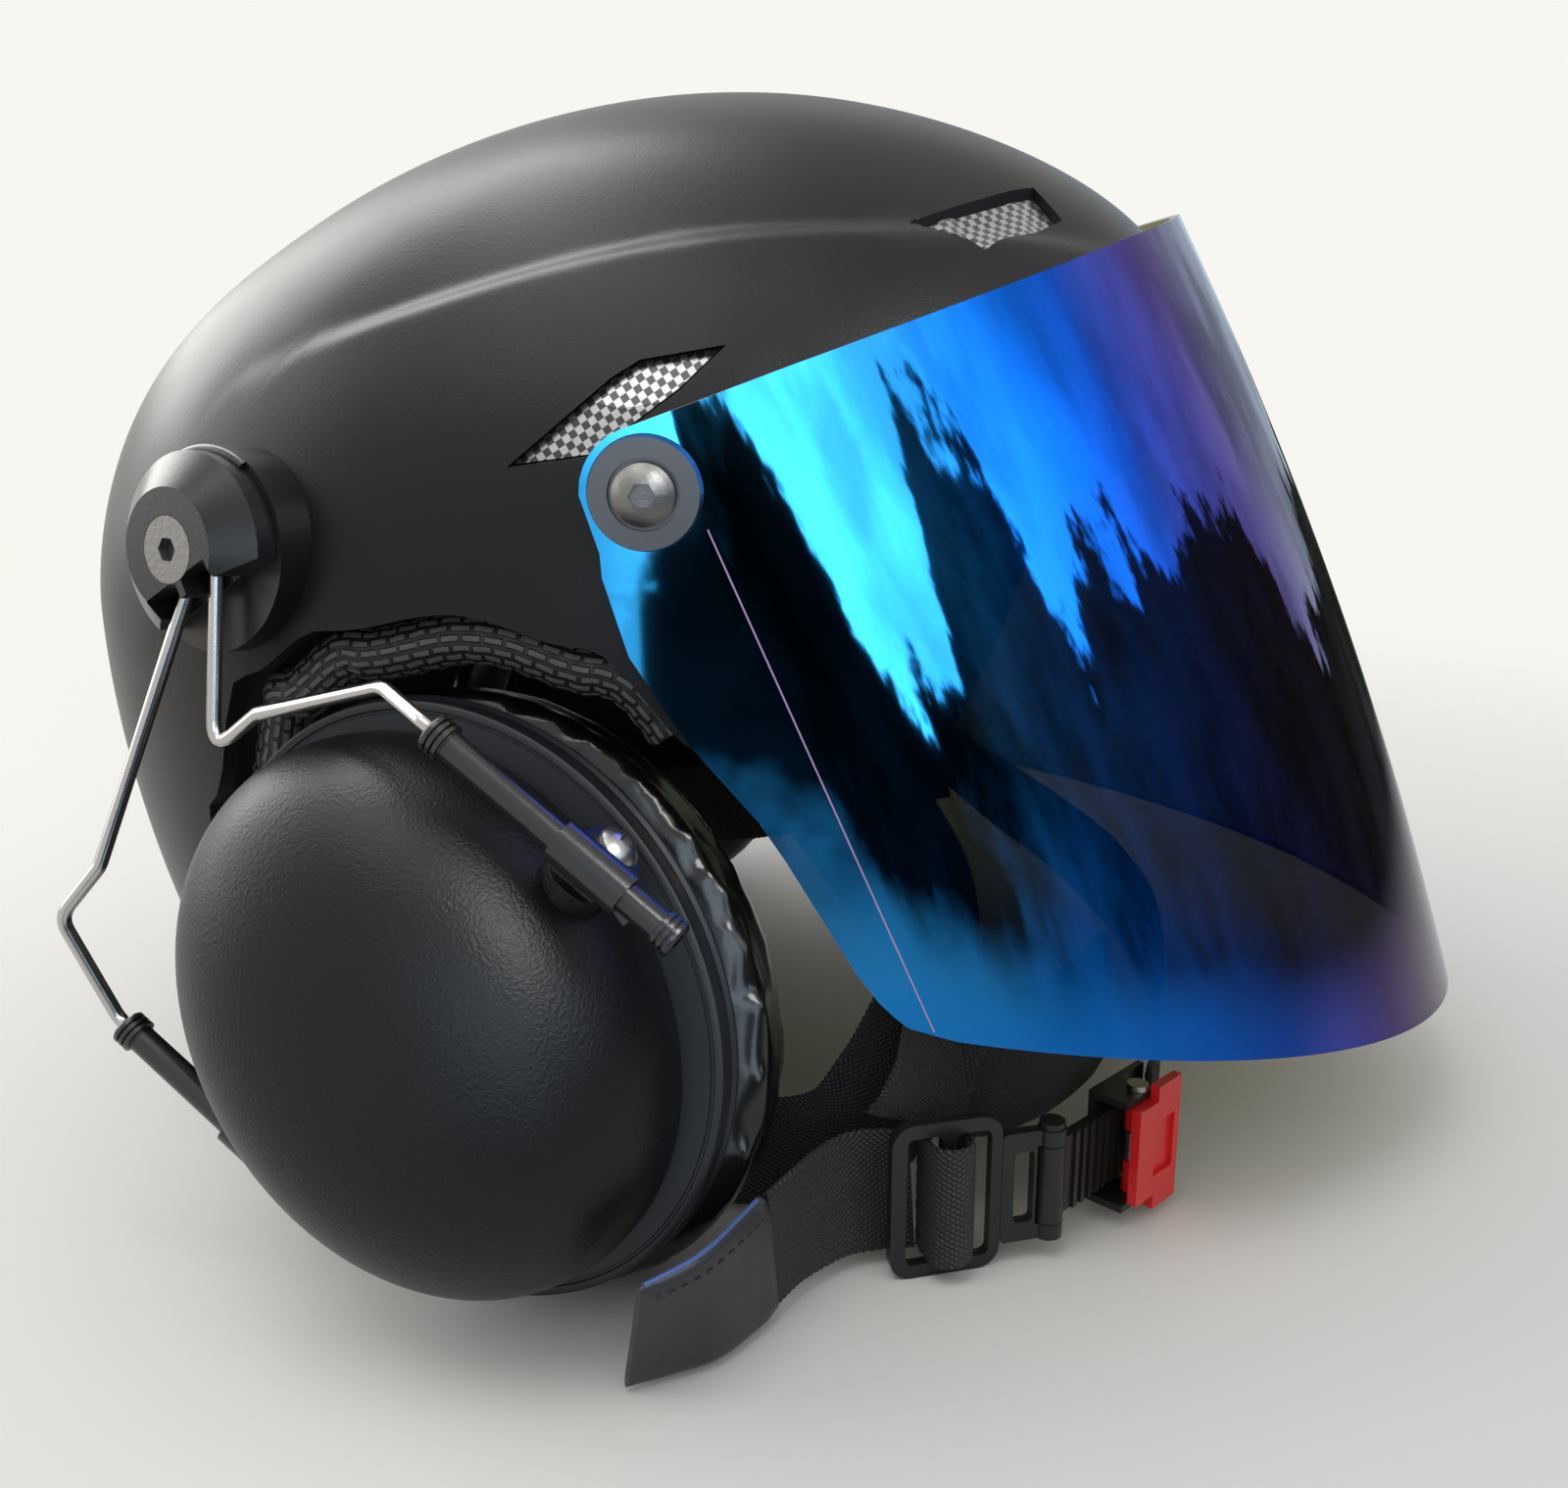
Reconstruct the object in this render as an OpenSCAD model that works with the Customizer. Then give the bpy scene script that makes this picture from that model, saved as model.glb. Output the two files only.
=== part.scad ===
/* [Shell] */
// Half width of the outer shell at its widest level
shell_half_w = 106; // [103:0.25:106.5]
// Reach of the shell behind its centre
shell_rear = 144.5; // [140:0.5:150]
// Reach of the crown curve ahead of the centre
shell_nose = 140; // [132:0.5:146]
// Forward limit of the brow ahead of the centre
brow_reach = 107; // [100:0.25:107.5]
// Rise of the crown above the widest level
crown_rise = 108; // [103:0.25:110]
// Height of the widest level above the nape rim
waist_h = 115.5; // [112:0.25:119]
// Wall of the outer shell
shell_wall = 3; // [2:0.1:3.5]
// Height of the brow edge above the nape rim
brow_h = 160; // [152:0.5:166]
// Height of the top of the ear arches
arch_h = 126; // [123:0.5:130]
// Height of the temple points in front of the ears
temple_h = 92; // [86:0.5:98]

/* [Liners] */
// Thickness of the foam liner
foam_t = 20; // [14:0.5:24]
// Thickness of the comfort lining
lining_t = 6; // [4:0.5:8]
// Diameter of the padded roll round each ear arch
roll_d = 10.4; // [8:0.2:11]

/* [Vents] */
// Thickness of the vent inserts
insert_t = 0.9; // [0.8:0.1:1.6]
// Depth of the inserts below the outside of the shell
insert_sink = 1.5; // [1:0.1:1.7]

/* [Visor] */
// Thickness of the visor sheet
visor_t = 2; // [1.5:0.1:2.5]
// Distance from the middle plane to the inside of the visor's side
visor_half_w = 107; // [106.9:0.1:109]
// Distance from the pivot line to the front of the visor
visor_reach = 117; // [115:0.5:120]
// Lean of the visor's rulings from upright
visor_lean = 23.7; // [20:0.1:26]
// Pivot position ahead of the origin
pivot_x = -26; // [-28:0.5:-22]
// Height of the pivots above the widest level
pivot_rise = 32.5; // [30.5:0.5:34.5]
// Diameter of the cup washers on the pivots
washer_d = 19.5; // [17:0.25:21]
// Diameter of the pivot screws' thread
pivot_screw_d = 6; // [5:0.5:6]

/* [Ear muff mounts] */
// Diameter of the round base plates
plate_d = 37.5; // [36:0.5:42]
// Thickness of the base plates above the shell
plate_t = 5; // [4:0.5:6]
// Diameter of the turning holders
holder_d = 35; // [32:0.5:37]
// Thickness of the turning holders
holder_t = 9; // [8:0.25:11]
// Diameter of the mount screws' thread
mount_screw_d = 6; // [5:0.5:6]
// Diameter of the spring wires
wire_d = 2.6; // [2:0.1:3]
// Outer diameter of the sleeves on the wire ends
sleeve_d = 5.2; // [4.6:0.1:5.6]
// Length of each sleeve
sleeve_l = 52.5; // [48:0.5:56]
// Thickness of the ear of each cup bracket
bracket_t = 2.4; // [1.8:0.1:2.8]

/* [Ear cups] */
// Half length of the cup
cup_a = 57.5; // [55:0.25:58.5]
// Half width of the cup
cup_b = 45; // [43:0.25:46]
// Height of the domed cover above its base ring
dome_h = 37.5; // [34:0.5:41]
// Wall of the domed cover
dome_wall = 2.4; // [1.8:0.1:3]
// Thickness of the base ring
ring_t = 8; // [6:0.25:8.5]
// Thickness of the ear cushion
cushion_t = 19; // [16:0.5:20]
// Thickness of the sound foam inside the cup
damper_t = 10; // [6:0.5:14]

/* [Chin strap] */
// Width of the webbing
web_w = 25; // [22:0.5:25]
// Thickness of the webbing
web_t = 1.6; // [1.2:0.1:1.8]
// Width of the slotted slider along the strap
slider_w = 22; // [20:0.5:25]
// Thickness of the slider and its hinge frame
slider_t = 2.4; // [2:0.1:2.8]
// Length of the toothed tongue from its hinge
tongue_l = 32; // [30:0.5:34]
// Thickness of the toothed tongue
tongue_t = 2; // [1.6:0.1:2.2]
// Length of the buckle housing
case_l = 18; // [17:0.5:20]
// Diameter of the buckle's hinge pin
pin_d = 3; // [2.5:0.1:3.4]
// Diameter of the lever's pin
lever_pin_d = 2.2; // [2:0.1:2.4]

/* [Hidden] */
$fn = 48;
// General running clearance between separate solids
gap = 0.3;

// Middle of the shell
shell_x = -12;
shell_c = [shell_x, 0, waist_h];
pivot_h = waist_h + pivot_rise;
// Semi-axis of the shell below its widest level, and the brow curve's half width
shell_drop = 200;
brow_half_w = 120;
// Forward parts of the direction between which the brow curve comes in
brow_in = [-0.05, 0.12];
// Powers of the plan curve, of the rise and of the blend with the brow
plan_n = 2.18;
rise_n = 1.89;
blend_n = 9;
// Facets round the shell and from rim to crown
shell_facets = 60;
shell_rings = 15;

function ease(u) = (1 - cos(180 * min(max(u, 0), 1))) / 2;
// Value of a table of [key, value] rows at key k, eased from row to row
function table(t, k, i = 0) =
    k <= t[0][0] ? t[0][1]
    : k >= t[len(t) - 1][0] ? t[len(t) - 1][1]
    : k <= t[i + 1][0]
        ? t[i][1] + (t[i + 1][1] - t[i][1]) * ease((k - t[i][0]) / (t[i + 1][0] - t[i][0]))
        : table(t, k, i + 1);
function heading(a, e) = [cos(e) * cos(a), cos(e) * sin(a), sin(e)];
function axis_part(x, half, n) = pow(abs(x) / half, n);
// How far the direction d lies from the middle, in units of the shell inset by w
function gauge(d, w) =
    let (nose = (d[0] > 0 ? shell_nose : shell_rear) - w,
         plan = pow(axis_part(d[0], nose, plan_n) + axis_part(d[1], shell_half_w - w, plan_n), 1 / plan_n),
         high = (d[2] > 0 ? crown_rise : shell_drop) - w,
         body = pow(pow(plan, rise_n) + axis_part(d[2], high, rise_n), 1 / rise_n),
         brow = norm([max(d[0], 0) / (brow_reach - w), d[1] / (brow_half_w - w)]),
         share = ease((d[0] - brow_in[0]) / (brow_in[1] - brow_in[0])))
    pow(pow(body, blend_n) + share * pow(brow, blend_n), 1 / blend_n);
// The pressed line along each side: its highest elevation, the azimuth of that, and how it falls before and behind
crease_top = 45.2;
crease_mid = 82;
crease_fall = [0.0034, 0.0062];
// How deep the crown dips above the line, and over how many degrees the dip fades
crease_depth = 2.4;
crease_fade = 26;
// The slight swelling across the back: how far it rises and the elevation of its middle
tail_rise = 1.6;
tail_el = 22;
function side_of(a) = a > 180 ? 360 - a : a;
function crease_el(side) = crease_top - crease_fall[side < crease_mid ? 0 : 1] * pow(side - crease_mid, 2);
function crease(side, e) =
    let (above = e - crease_el(side),
         strength = ease((side - 25) / 30) * ease((150 - side) / 25))
    above < 0 ? 0 : -crease_depth * strength * ease(above / 4) * (1 - ease(above / crease_fade));
function tail(side, e) = tail_rise * ease((side - 115) / 40) * ease(1 - abs(e - tail_el) / 20);
function relief(a, e) = crease(side_of(a), e) + tail(side_of(a), e);
// Half width of the shell, inset by w, at a point of its side seen from the side
function side_y(x, z, w) =
    let (high = (z > waist_h ? crown_rise : shell_drop) - w,
         nose = (x > shell_x ? shell_nose : shell_rear) - w,
         plan = pow(1 - axis_part(z - waist_h, high, rise_n), 1 / rise_n))
    (shell_half_w - w) * pow(pow(plan, plan_n) - axis_part(x - shell_x, nose, plan_n), 1 / plan_n);
function skin(a, e, w) = shell_c + heading(a, e) * (1 / gauge(heading(a, e), w) + relief(a, e));
// Elevation at which the skin reaches height z
function rim_angle(a, z, w, n = 9, e = 0) =
    n == 0 ? e
    : rim_angle(a, z, w, n - 1, atan2(z - waist_h, cos(e) / gauge(heading(a, e), w)));
// Height of the shell's edge by azimuth, from the brow round to the nape
nape_h = 0;
shell_rim = [
    [0, brow_h], [28, brow_h], [54, brow_h - 14], [72, temple_h + 8], [82, temple_h], [92, temple_h + 10],
    [104, arch_h - 5], [116, arch_h], [128, arch_h - 4], [137, arch_h - 14], [143, arch_h - 40],
    [150, nape_h + 38], [158, nape_h], [180, nape_h]
];
function skin_point(a, t, w, rim) =
    let (z = table(rim, side_of(a)), e = rim_angle(a, z, w), p = skin(a, e + (90 - e) * t, w))
    t == 0 ? [p[0], p[1], z] : p;

// A shell between two insets, open below along its rim
module double_skin(w_out, w_in, rim, facets, rings) {
    step = 360 / facets;
    layer = facets * rings + 1;
    points = [for (w = [w_out, w_in]) each concat(
        [for (j = [0 : rings - 1]) for (i = [0 : facets - 1]) skin_point(i * step, j / rings, w, rim)],
        [skin(0, 90, w)])];
    outer = [for (j = [0 : rings - 2]) for (i = [0 : facets - 1])
        let (a = j * facets + i, b = j * facets + (i + 1) % facets)
        each [[a, a + facets, b + facets], [a, b + facets, b]]];
    cap = [for (i = [0 : facets - 1])
        [(rings - 1) * facets + i, layer - 1, (rings - 1) * facets + (i + 1) % facets]];
    inner = [for (f = concat(outer, cap)) [f[0] + layer, f[2] + layer, f[1] + layer]];
    rim_faces = [for (i = [0 : facets - 1])
        let (b = (i + 1) % facets) each [[i, b, b + layer], [i, b + layer, i + layer]]];
    polyhedron(points = points, faces = concat(outer, cap, inner, rim_faces), convexity = 8);
}
// The space inside one inset of the shell, closed below
module filled_skin(w, facets, rings) {
    step = 360 / facets;
    points = concat(
        [for (j = [0 : rings - 1]) for (i = [0 : facets - 1])
            skin(i * step, -20 + 110 * j / rings, w)],
        [skin(0, 90, w), skin(0, -20, w) - [skin(0, -20, w)[0] - shell_x, 0, 0]]);
    top = facets * rings;
    sides = [for (j = [0 : rings - 2]) for (i = [0 : facets - 1])
        let (a = j * facets + i, b = j * facets + (i + 1) % facets)
        each [[a, a + facets, b + facets], [a, b + facets, b]]];
    ends = [for (i = [0 : facets - 1])
        let (b = (i + 1) % facets, c = (rings - 1) * facets)
        each [[c + i, top, c + b], [b, top + 1, i]]];
    polyhedron(points = points, faces = concat(sides, ends), convexity = 6);
}
// The right side is drawn, and the left side is its mirror image
module left_side() { mirror([0, 1, 0]) children(); }
module both_sides() { children(); left_side() children(); }

// Ear muff mount: its place on the shell and the lie of its axis
mount_az = -138.2;
mount_el = 9;
mount_yaw = 31;
mount_up = 6;
mount_p = skin(mount_az + 360, mount_el, 0);
// Turns +Z to the mount's outward axis
module mount_frame(lift = 0) {
    translate(mount_p) rotate([90 - mount_up, 0, -mount_yaw]) translate([0, 0, lift]) children();
}
// Visor pivot: from the middle plane outwards on the right side
module pivot_frame(y) { translate([pivot_x, -y, pivot_h]) rotate([90, 0, 0]) children(); }

pivot_hole_d = pivot_screw_d + 0.1;
mount_hole_d = mount_screw_d + 0.1;
// Where the pivot spacers start, just inside the narrowest part of the shell behind them
spacer_y = side_y(pivot_x, pivot_h + washer_d / 2, 0) - 1;
nut_d = 15;
nut_t = 4;
mount_nut_lift = -shell_wall - nut_t - 2.4;
// Room for the facets of the inner wall behind a nut
nut_room = 0.6;
pivot_nut_y = side_y(pivot_x, pivot_h + nut_d / 2, shell_wall) - nut_room;
pocket = 1;

// Vent outlines seen from the side and from above, right side
side_vent = [[-51, 151], [-33, 166], [-28, 169], [-13, 171.5], [-21, 164], [-36, 153]];
front_vent = [[20, -64], [34, -68], [51, -50], [46, -44], [35, -53]];
module side_vent_prism(inset = 0) {
    translate([0, -80, 0]) rotate([90, 0, 0]) linear_extrude(26) offset(delta = -inset) polygon(side_vent);
}
module front_vent_prism(inset = 0) {
    translate([0, 0, 178]) linear_extrude(34) offset(delta = -inset) polygon(front_vent);
}

module outer_shell() {
    color([0.07, 0.07, 0.075]) difference() {
        double_skin(0, shell_wall, shell_rim, shell_facets, shell_rings);
        both_sides() {
            side_vent_prism();
            front_vent_prism();
            pivot_frame(80) cylinder(d = pivot_hole_d, h = 40);
            mount_frame(-12) cylinder(d = mount_hole_d, h = 24);
        }
    }
}

foam_out = shell_wall + 0.7;
foam_in = foam_out + foam_t;
// The liner stands a little above the shell's edge, and clears the strap anchors
foam_rim = [for (row = shell_rim)
    [row[0], row[1] + (row[0] < 60 ? 3 : row[0] < 97 ? 26 : row[0] < 130 ? 3 : row[0] < 147 ? 8 : 30)]];
module foam_liner() {
    color([0.12, 0.12, 0.12]) difference() {
        double_skin(foam_out, foam_in, foam_rim, shell_facets, 8);
        both_sides() {
            pivot_frame(80) cylinder(d = nut_d + 2 * pocket, h = 40);
            mount_frame(-22) cylinder(d = nut_d + 2 * pocket, h = 24);
        }
    }
}
lining_rim = [for (row = foam_rim) [row[0], row[1] + 2]];
module comfort_lining() {
    color([0.05, 0.05, 0.055]) double_skin(foam_in + 0.5, foam_in + 0.5 + lining_t, lining_rim, shell_facets, 8);
}

// A round bar swept along points, with level rings
function unit(v) = v / norm(v);
function aim(pts, i) = unit(pts[min(i + 1, len(pts) - 1)] - pts[max(i - 1, 0)]);
module sweep_round(pts, d, sides) {
    n = len(pts);
    ring = [for (i = [0 : n - 1])
        let (t = aim(pts, i), s = unit(cross(t, [0, 0, 1])), u = cross(s, t))
        for (k = [0 : sides - 1])
            pts[i] + d / 2 * (cos(360 * k / sides) * s + sin(360 * k / sides) * u)];
    walls = [for (i = [0 : n - 2]) for (k = [0 : sides - 1])
        let (a = i * sides + k, b = i * sides + (k + 1) % sides)
        each [[a, b + sides, a + sides], [a, b, b + sides]]];
    ends = [[for (k = [0 : sides - 1]) sides - 1 - k], [for (k = [0 : sides - 1]) (n - 1) * sides + k]];
    polyhedron(points = ring, faces = concat(walls, ends), convexity = 8);
}
// The roll hangs just under the shell's edge, from the front of the arch to the nape
roll_from = 97;
roll_to = 145;
roll_steps = 24;
roll_inset = 3 + roll_d / 2;
function roll_point(k) =
    let (a = roll_from + (roll_to - roll_from) * k / roll_steps,
         z = table(shell_rim, a),
         p = skin(360 - a, rim_angle(a, z, 0), roll_inset),
         ahead = table(shell_rim, a + 1) - z,
         steep = min(abs(ahead) / 6, 1),
         drop = (roll_d / 2 + gap))
    [p[0] + drop * steep * 0.5, p[1], z - drop * (1 - 0.55 * steep)];
module ear_rolls() {
    color([0.08, 0.08, 0.08]) both_sides()
        sweep_round([for (k = [0 : roll_steps]) roll_point(k)], roll_d, 8);
}

module vent_inserts() {
    color([0.6, 0.6, 0.62]) intersection() {
        double_skin(insert_sink, insert_sink + insert_t, shell_rim, shell_facets, shell_rings);
        both_sides() {
            side_vent_prism(gap);
            front_vent_prism(gap);
        }
    }
}

module pivot_spacers() {
    color([0.1, 0.1, 0.1]) both_sides() difference() {
        pivot_frame(spacer_y) cylinder(d = washer_d - 2, h = visor_half_w - gap - spacer_y);
        filled_skin(-gap, shell_facets, shell_rings);
        pivot_frame(80) cylinder(d = pivot_hole_d, h = 40);
    }
}
washer_t = 2.6;
washer_y = visor_half_w + visor_t + 0.1;
screw_head_t = 3.3;
screw_head_d = 10.5;
module pivot_screws() {
    color([0.75, 0.75, 0.76]) both_sides() {
        pivot_frame(washer_y + washer_t + 0.1) difference() {
            intersection() {
                cylinder(d = screw_head_d, h = screw_head_t);
                translate([0, 0, -3.6]) sphere(d = 14);
            }
            translate([0, 0, 1.3]) cylinder(d = 4.6, h = 4, $fn = 6);
        }
        pivot_frame(pivot_nut_y - nut_t) cylinder(d = pivot_screw_d, h = washer_y + washer_t + 0.2 - pivot_nut_y + nut_t);
    }
}
module pivot_nuts() {
    color([0.5, 0.5, 0.5]) both_sides() difference() {
        pivot_frame(pivot_nut_y - nut_t) cylinder(d = nut_d, h = nut_t);
        pivot_frame(pivot_nut_y - nut_t - 1) cylinder(d = pivot_screw_d + 0.1, h = nut_t + 2);
    }
}

module mount_plate() {
    difference() {
        mount_frame(-6) cylinder(d = plate_d, h = plate_t + 6);
        filled_skin(-gap, shell_facets, shell_rings);
        mount_frame(-8) cylinder(d = mount_hole_d, h = 24);
    }
}
module mount_plate_right() { color([0.06, 0.06, 0.065]) mount_plate(); }
module mount_plate_left() { color([0.06, 0.06, 0.065]) left_side() mount_plate(); }
mount_head_d = 12;
mount_head_t = 3.3;
holder_lift = plate_t + 0.1;
module mount_screws() {
    top = holder_lift + holder_t;
    color([0.75, 0.75, 0.76]) both_sides() {
        mount_frame(top - mount_head_t) difference() {
            cylinder(d1 = mount_screw_d, d2 = mount_head_d, h = mount_head_t, $fn = 48);
            translate([0, 0, 1.2]) cylinder(d = 4.6, h = 4, $fn = 6);
        }
        mount_frame(mount_nut_lift) cylinder(d = mount_screw_d, h = top - mount_head_t - mount_nut_lift + 0.5);
    }
}
module mount_nuts() {
    color([0.5, 0.5, 0.5]) both_sides() difference() {
        mount_frame(mount_nut_lift) cylinder(d = nut_d, h = nut_t);
        mount_frame(mount_nut_lift - 1) cylinder(d = mount_screw_d + 0.1, h = nut_t + 2);
    }
}

// Visor: a curved sheet with flat sides, cut to its outline seen from the side
bend_x = 7;
visor_steps = 20;
visor_rows = 8;
visor_low = -192;
visor_high = 14;
// How far the front bulges between its top and bottom
visor_bulge = 5;
function bulge(h) = visor_bulge * (1 - pow((h + 88) / 95, 2));
function visor_curve(inset, h) = [for (k = [0 : visor_steps])
    let (t = 90 * k / visor_steps)
    [bend_x + (visor_reach - bend_x + bulge(h) + inset) * sin(t), (visor_half_w + inset) * cos(t), h]];
function flip(pts) = [for (k = [len(pts) - 1 : -1 : 0]) pts[k]];
function mirrored(pts) = [for (p = pts) [p[0], -p[1], p[2]]];
function whole_curve(inset, h) =
    let (half = concat([[-30, visor_half_w + inset, h]], visor_curve(inset, h)))
    concat(half, flip(mirrored([for (k = [0 : len(half) - 2]) half[k]])));
module visor_sheet() {
    side = 2 * visor_steps + 3;
    ring = 2 * side;
    points = [for (j = [0 : visor_rows])
        let (h = visor_low + (visor_high - visor_low) * j / visor_rows)
        each concat(whole_curve(visor_t, h), flip(whole_curve(0, h)))];
    walls = [for (j = [0 : visor_rows - 1]) for (i = [0 : ring - 1])
        let (a = j * ring + i, b = j * ring + (i + 1) % ring)
        each [[a, b + ring, a + ring], [a, b, b + ring]]];
    top = visor_rows * ring;
    ends = [for (i = [0 : side - 2]) let (o = ring - 1 - i)
        each [[i + 1, i, o], [o - 1, i + 1, o], [top + i, top + i + 1, top + o], [top + o, top + i + 1, top + o - 1]]];
    polyhedron(points = points, faces = concat(walls, ends), convexity = 6);
}
tab_r = 11;
// Rear and lower edge, from the tab down to the lower corner
visor_edge = [[-12.6, -10], [-14.2, -24], [-11.4, -42], [-5.3, -62], [-2.6, -84], [-1, -97], [2.5, -106], [10, -112.5]];
visor_foot_front = -187;
visor_top_front = 1.5;
module visor_outline() {
    polygon(concat(
        [for (a = [80 : 12 : 200]) tab_r * [cos(a), sin(a)]],
        visor_edge,
        [[visor_reach + 9, visor_foot_front - 2], [visor_reach + 9, visor_top_front], [30, 9]]));
}
module visor() {
    color([0.05, 0.15, 0.7]) difference() {
        translate([pivot_x, 0, pivot_h]) rotate([0, -visor_lean, 0]) intersection() {
            visor_sheet();
            rotate([90, 0, 0]) translate([0, 0, -150]) linear_extrude(300) visor_outline();
        }
        both_sides() pivot_frame(100) cylinder(d = pivot_screw_d + 0.2, h = 12);
    }
}
module pivot_washers() {
    color([0.12, 0.12, 0.13]) both_sides() difference() {
        pivot_frame(washer_y) cylinder(d1 = washer_d, d2 = washer_d - 1, h = washer_t);
        pivot_frame(washer_y + 1) cylinder(d = screw_head_d + 1.6, h = washer_t);
        pivot_frame(washer_y - 1) cylinder(d = pivot_screw_d + 0.2, h = washer_t + 2);
    }
}

// Cup frame: x along the sleeves, y across them, z out from the head; right side
cup_p = [-59.5, -111, 59.2];
cup_yaw = 11;
cup_tilt = 13;
sleeve_slope = 36.5;
cup_turn = -18;
module cup_frame() {
    translate(cup_p) rotate([90 - cup_tilt, 0, -cup_yaw]) rotate([0, 0, -sleeve_slope]) children();
}
function turn_z(v, a) = [v[0] * cos(a) - v[1] * sin(a), v[0] * sin(a) + v[1] * cos(a), v[2]];
function turn_x(v, a) = [v[0], v[1] * cos(a) - v[2] * sin(a), v[1] * sin(a) + v[2] * cos(a)];
function cup_vec(v) = turn_z(turn_x(turn_z(v, -sleeve_slope), 90 - cup_tilt), -cup_yaw);
function cup_pt(v) = cup_p + cup_vec(v);
// The two sleeves: where each one starts, in the cup's frame
front_sleeve = [-26.5, 40.2, 26];
rear_sleeve = [-48.5, -50.5, -3];
collar_d = sleeve_d + 1.6;
collar_l = 4;
// The line that the cup tilts about: its middle, its two ends from there, and its lie
tilt_mid = [-2.75, -1, 7.75];
tilt_yaw = 13.7;
tilt_rise = 13.3;
front_end = 44;
rear_end = 46.5;
module tilt_frame() { translate(tilt_mid) rotate([0, 0, -tilt_yaw]) rotate([tilt_rise, 0, 0]) children(); }

// Holder: a round turret cut off flat on the side where the wires enter
slot_gap = 8.4;
chord = 9;
seat_depth = 3.5;
seat_clear = 0.3;
holder_turn = 30;
module holder() {
    mount_frame(holder_lift) rotate([0, 0, holder_turn]) difference() {
        union() {
            cylinder(d = holder_d, h = holder_t - 5);
            translate([0, 0, holder_t - 5]) cylinder(d1 = holder_d, d2 = holder_d - 13, h = 5, $fn = 64);
        }
        translate([-30, -chord - 30, -1]) cube([60, 30, 40]);
        translate([0, 0, -1]) cylinder(d = mount_screw_d + 0.2, h = holder_t + 2);
        translate([0, 0, holder_t - mount_head_t - 0.1])
            cylinder(d1 = mount_screw_d + 0.2, d2 = mount_head_d + 0.8, h = mount_head_t + 0.4, $fn = 48);
        for (s = [-1, 1]) translate([s * slot_gap / 2, seat_depth - chord, wire_level]) {
            translate([-2.6, 0, 0]) rotate([0, 90, 0]) cylinder(d = wire_d + seat_clear, h = 4.4);
            translate([s < 0 ? -6 : -3.6, -9, -wire_d / 2 - seat_clear / 2]) cube([s < 0 ? 9.2 : 7.2, 9, holder_t]);
        }
    }
}
module holder_right() { color([0.05, 0.05, 0.055]) holder(); }
module holder_left() { color([0.05, 0.05, 0.055]) left_side() holder(); }

// Centre of each wire's end inside the holder, in the mount's frame
function mount_vec(v) = turn_z(turn_x(v, 90 - mount_up), -mount_yaw);
wire_level = 3.6;
function wire_seat(s) =
    mount_p + mount_vec(turn_z([s * slot_gap / 2, seat_depth - chord, wire_level + holder_lift], holder_turn));
front_route = concat([wire_seat(1)],
    [[-106, -97, 100.5], [-96, -101, 108.5], [-70, -115, 116.5]],
    [cup_pt(front_sleeve - [2, 0, 0]), cup_pt(front_sleeve + [sleeve_l - 4, 0, 0])]);
rear_route = concat([wire_seat(-1)],
    [[-129, -97, 78.5], [-137, -98, 69]],
    [cup_pt(rear_sleeve - [2, 0, 0]), cup_pt(rear_sleeve + [sleeve_l - 4, 0, 0])]);
module rod(a, b, d) {
    v = b - a;
    translate(a) rotate([0, acos(v[2] / norm(v)), atan2(v[1], v[0])]) cylinder(d = d, h = norm(v), $fn = 24);
}
module bent_wire(route) {
    for (k = [0 : len(route) - 2]) rod(route[k], route[k + 1], wire_d);
    for (k = [0 : len(route) - 2]) translate(route[k]) sphere(d = wire_d + 0.04, $fn = 24);
}
module front_wire_right() { color([0.8, 0.8, 0.8]) bent_wire(front_route); }
module rear_wire_right() { color([0.8, 0.8, 0.8]) bent_wire(rear_route); }
module front_wire_left() { color([0.8, 0.8, 0.8]) left_side() bent_wire(front_route); }
module rear_wire_left() { color([0.8, 0.8, 0.8]) left_side() bent_wire(rear_route); }

module sleeve(start) {
    translate(start) rotate([0, 90, 0]) difference() {
        union() {
            cylinder(d = sleeve_d, h = sleeve_l);
            cylinder(d = collar_d, h = collar_l);
            translate([0, 0, sleeve_l - collar_l]) cylinder(d = collar_d, h = collar_l);
        }
        translate([0, 0, -1]) cylinder(d = wire_d + 0.1, h = sleeve_l - 2);
    }
}
module sleeve_pair() { cup_frame() { sleeve(front_sleeve); sleeve(rear_sleeve); } }
module sleeves_right() { color([0.06, 0.06, 0.06]) sleeve_pair(); }
module sleeves_left() { color([0.06, 0.06, 0.06]) left_side() sleeve_pair(); }

// Brackets: the front one has a clip and an ear for a screw, the rear one a clip and a stud
clip_l = 14;
clip_wall = 1.2;
screw_d = 4;
stud_d = 4;
front_clip_x = 8;
rear_clip_x = -13.5;
ear_d = 10;
boss_d = 12.5;
module clip_tube(start, x) {
    translate([x - clip_l / 2, start[1], start[2]]) rotate([0, 90, 0])
        cylinder(d = sleeve_d + 2 * clip_wall, h = clip_l);
}
module clip_bore(start, x) {
    translate([x - clip_l, start[1], start[2]]) rotate([0, 90, 0]) cylinder(d = sleeve_d + 0.2, h = 2 * clip_l);
}
module front_bracket() {
    difference() {
        union() {
            clip_tube(front_sleeve, front_clip_x);
            tilt_frame() translate([0, front_end, 0]) rotate([-90, 0, 0]) {
                cylinder(d = ear_d, h = bracket_t);
                linear_extrude(bracket_t) polygon([[-5, 0], [3.6, -3.5], [11, -8], [-5, -8]]);
            }
        }
        clip_bore(front_sleeve, front_clip_x);
        tilt_frame() rotate([-90, 0, 0]) cylinder(d = screw_d + 0.2, h = 70);
    }
}
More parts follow.
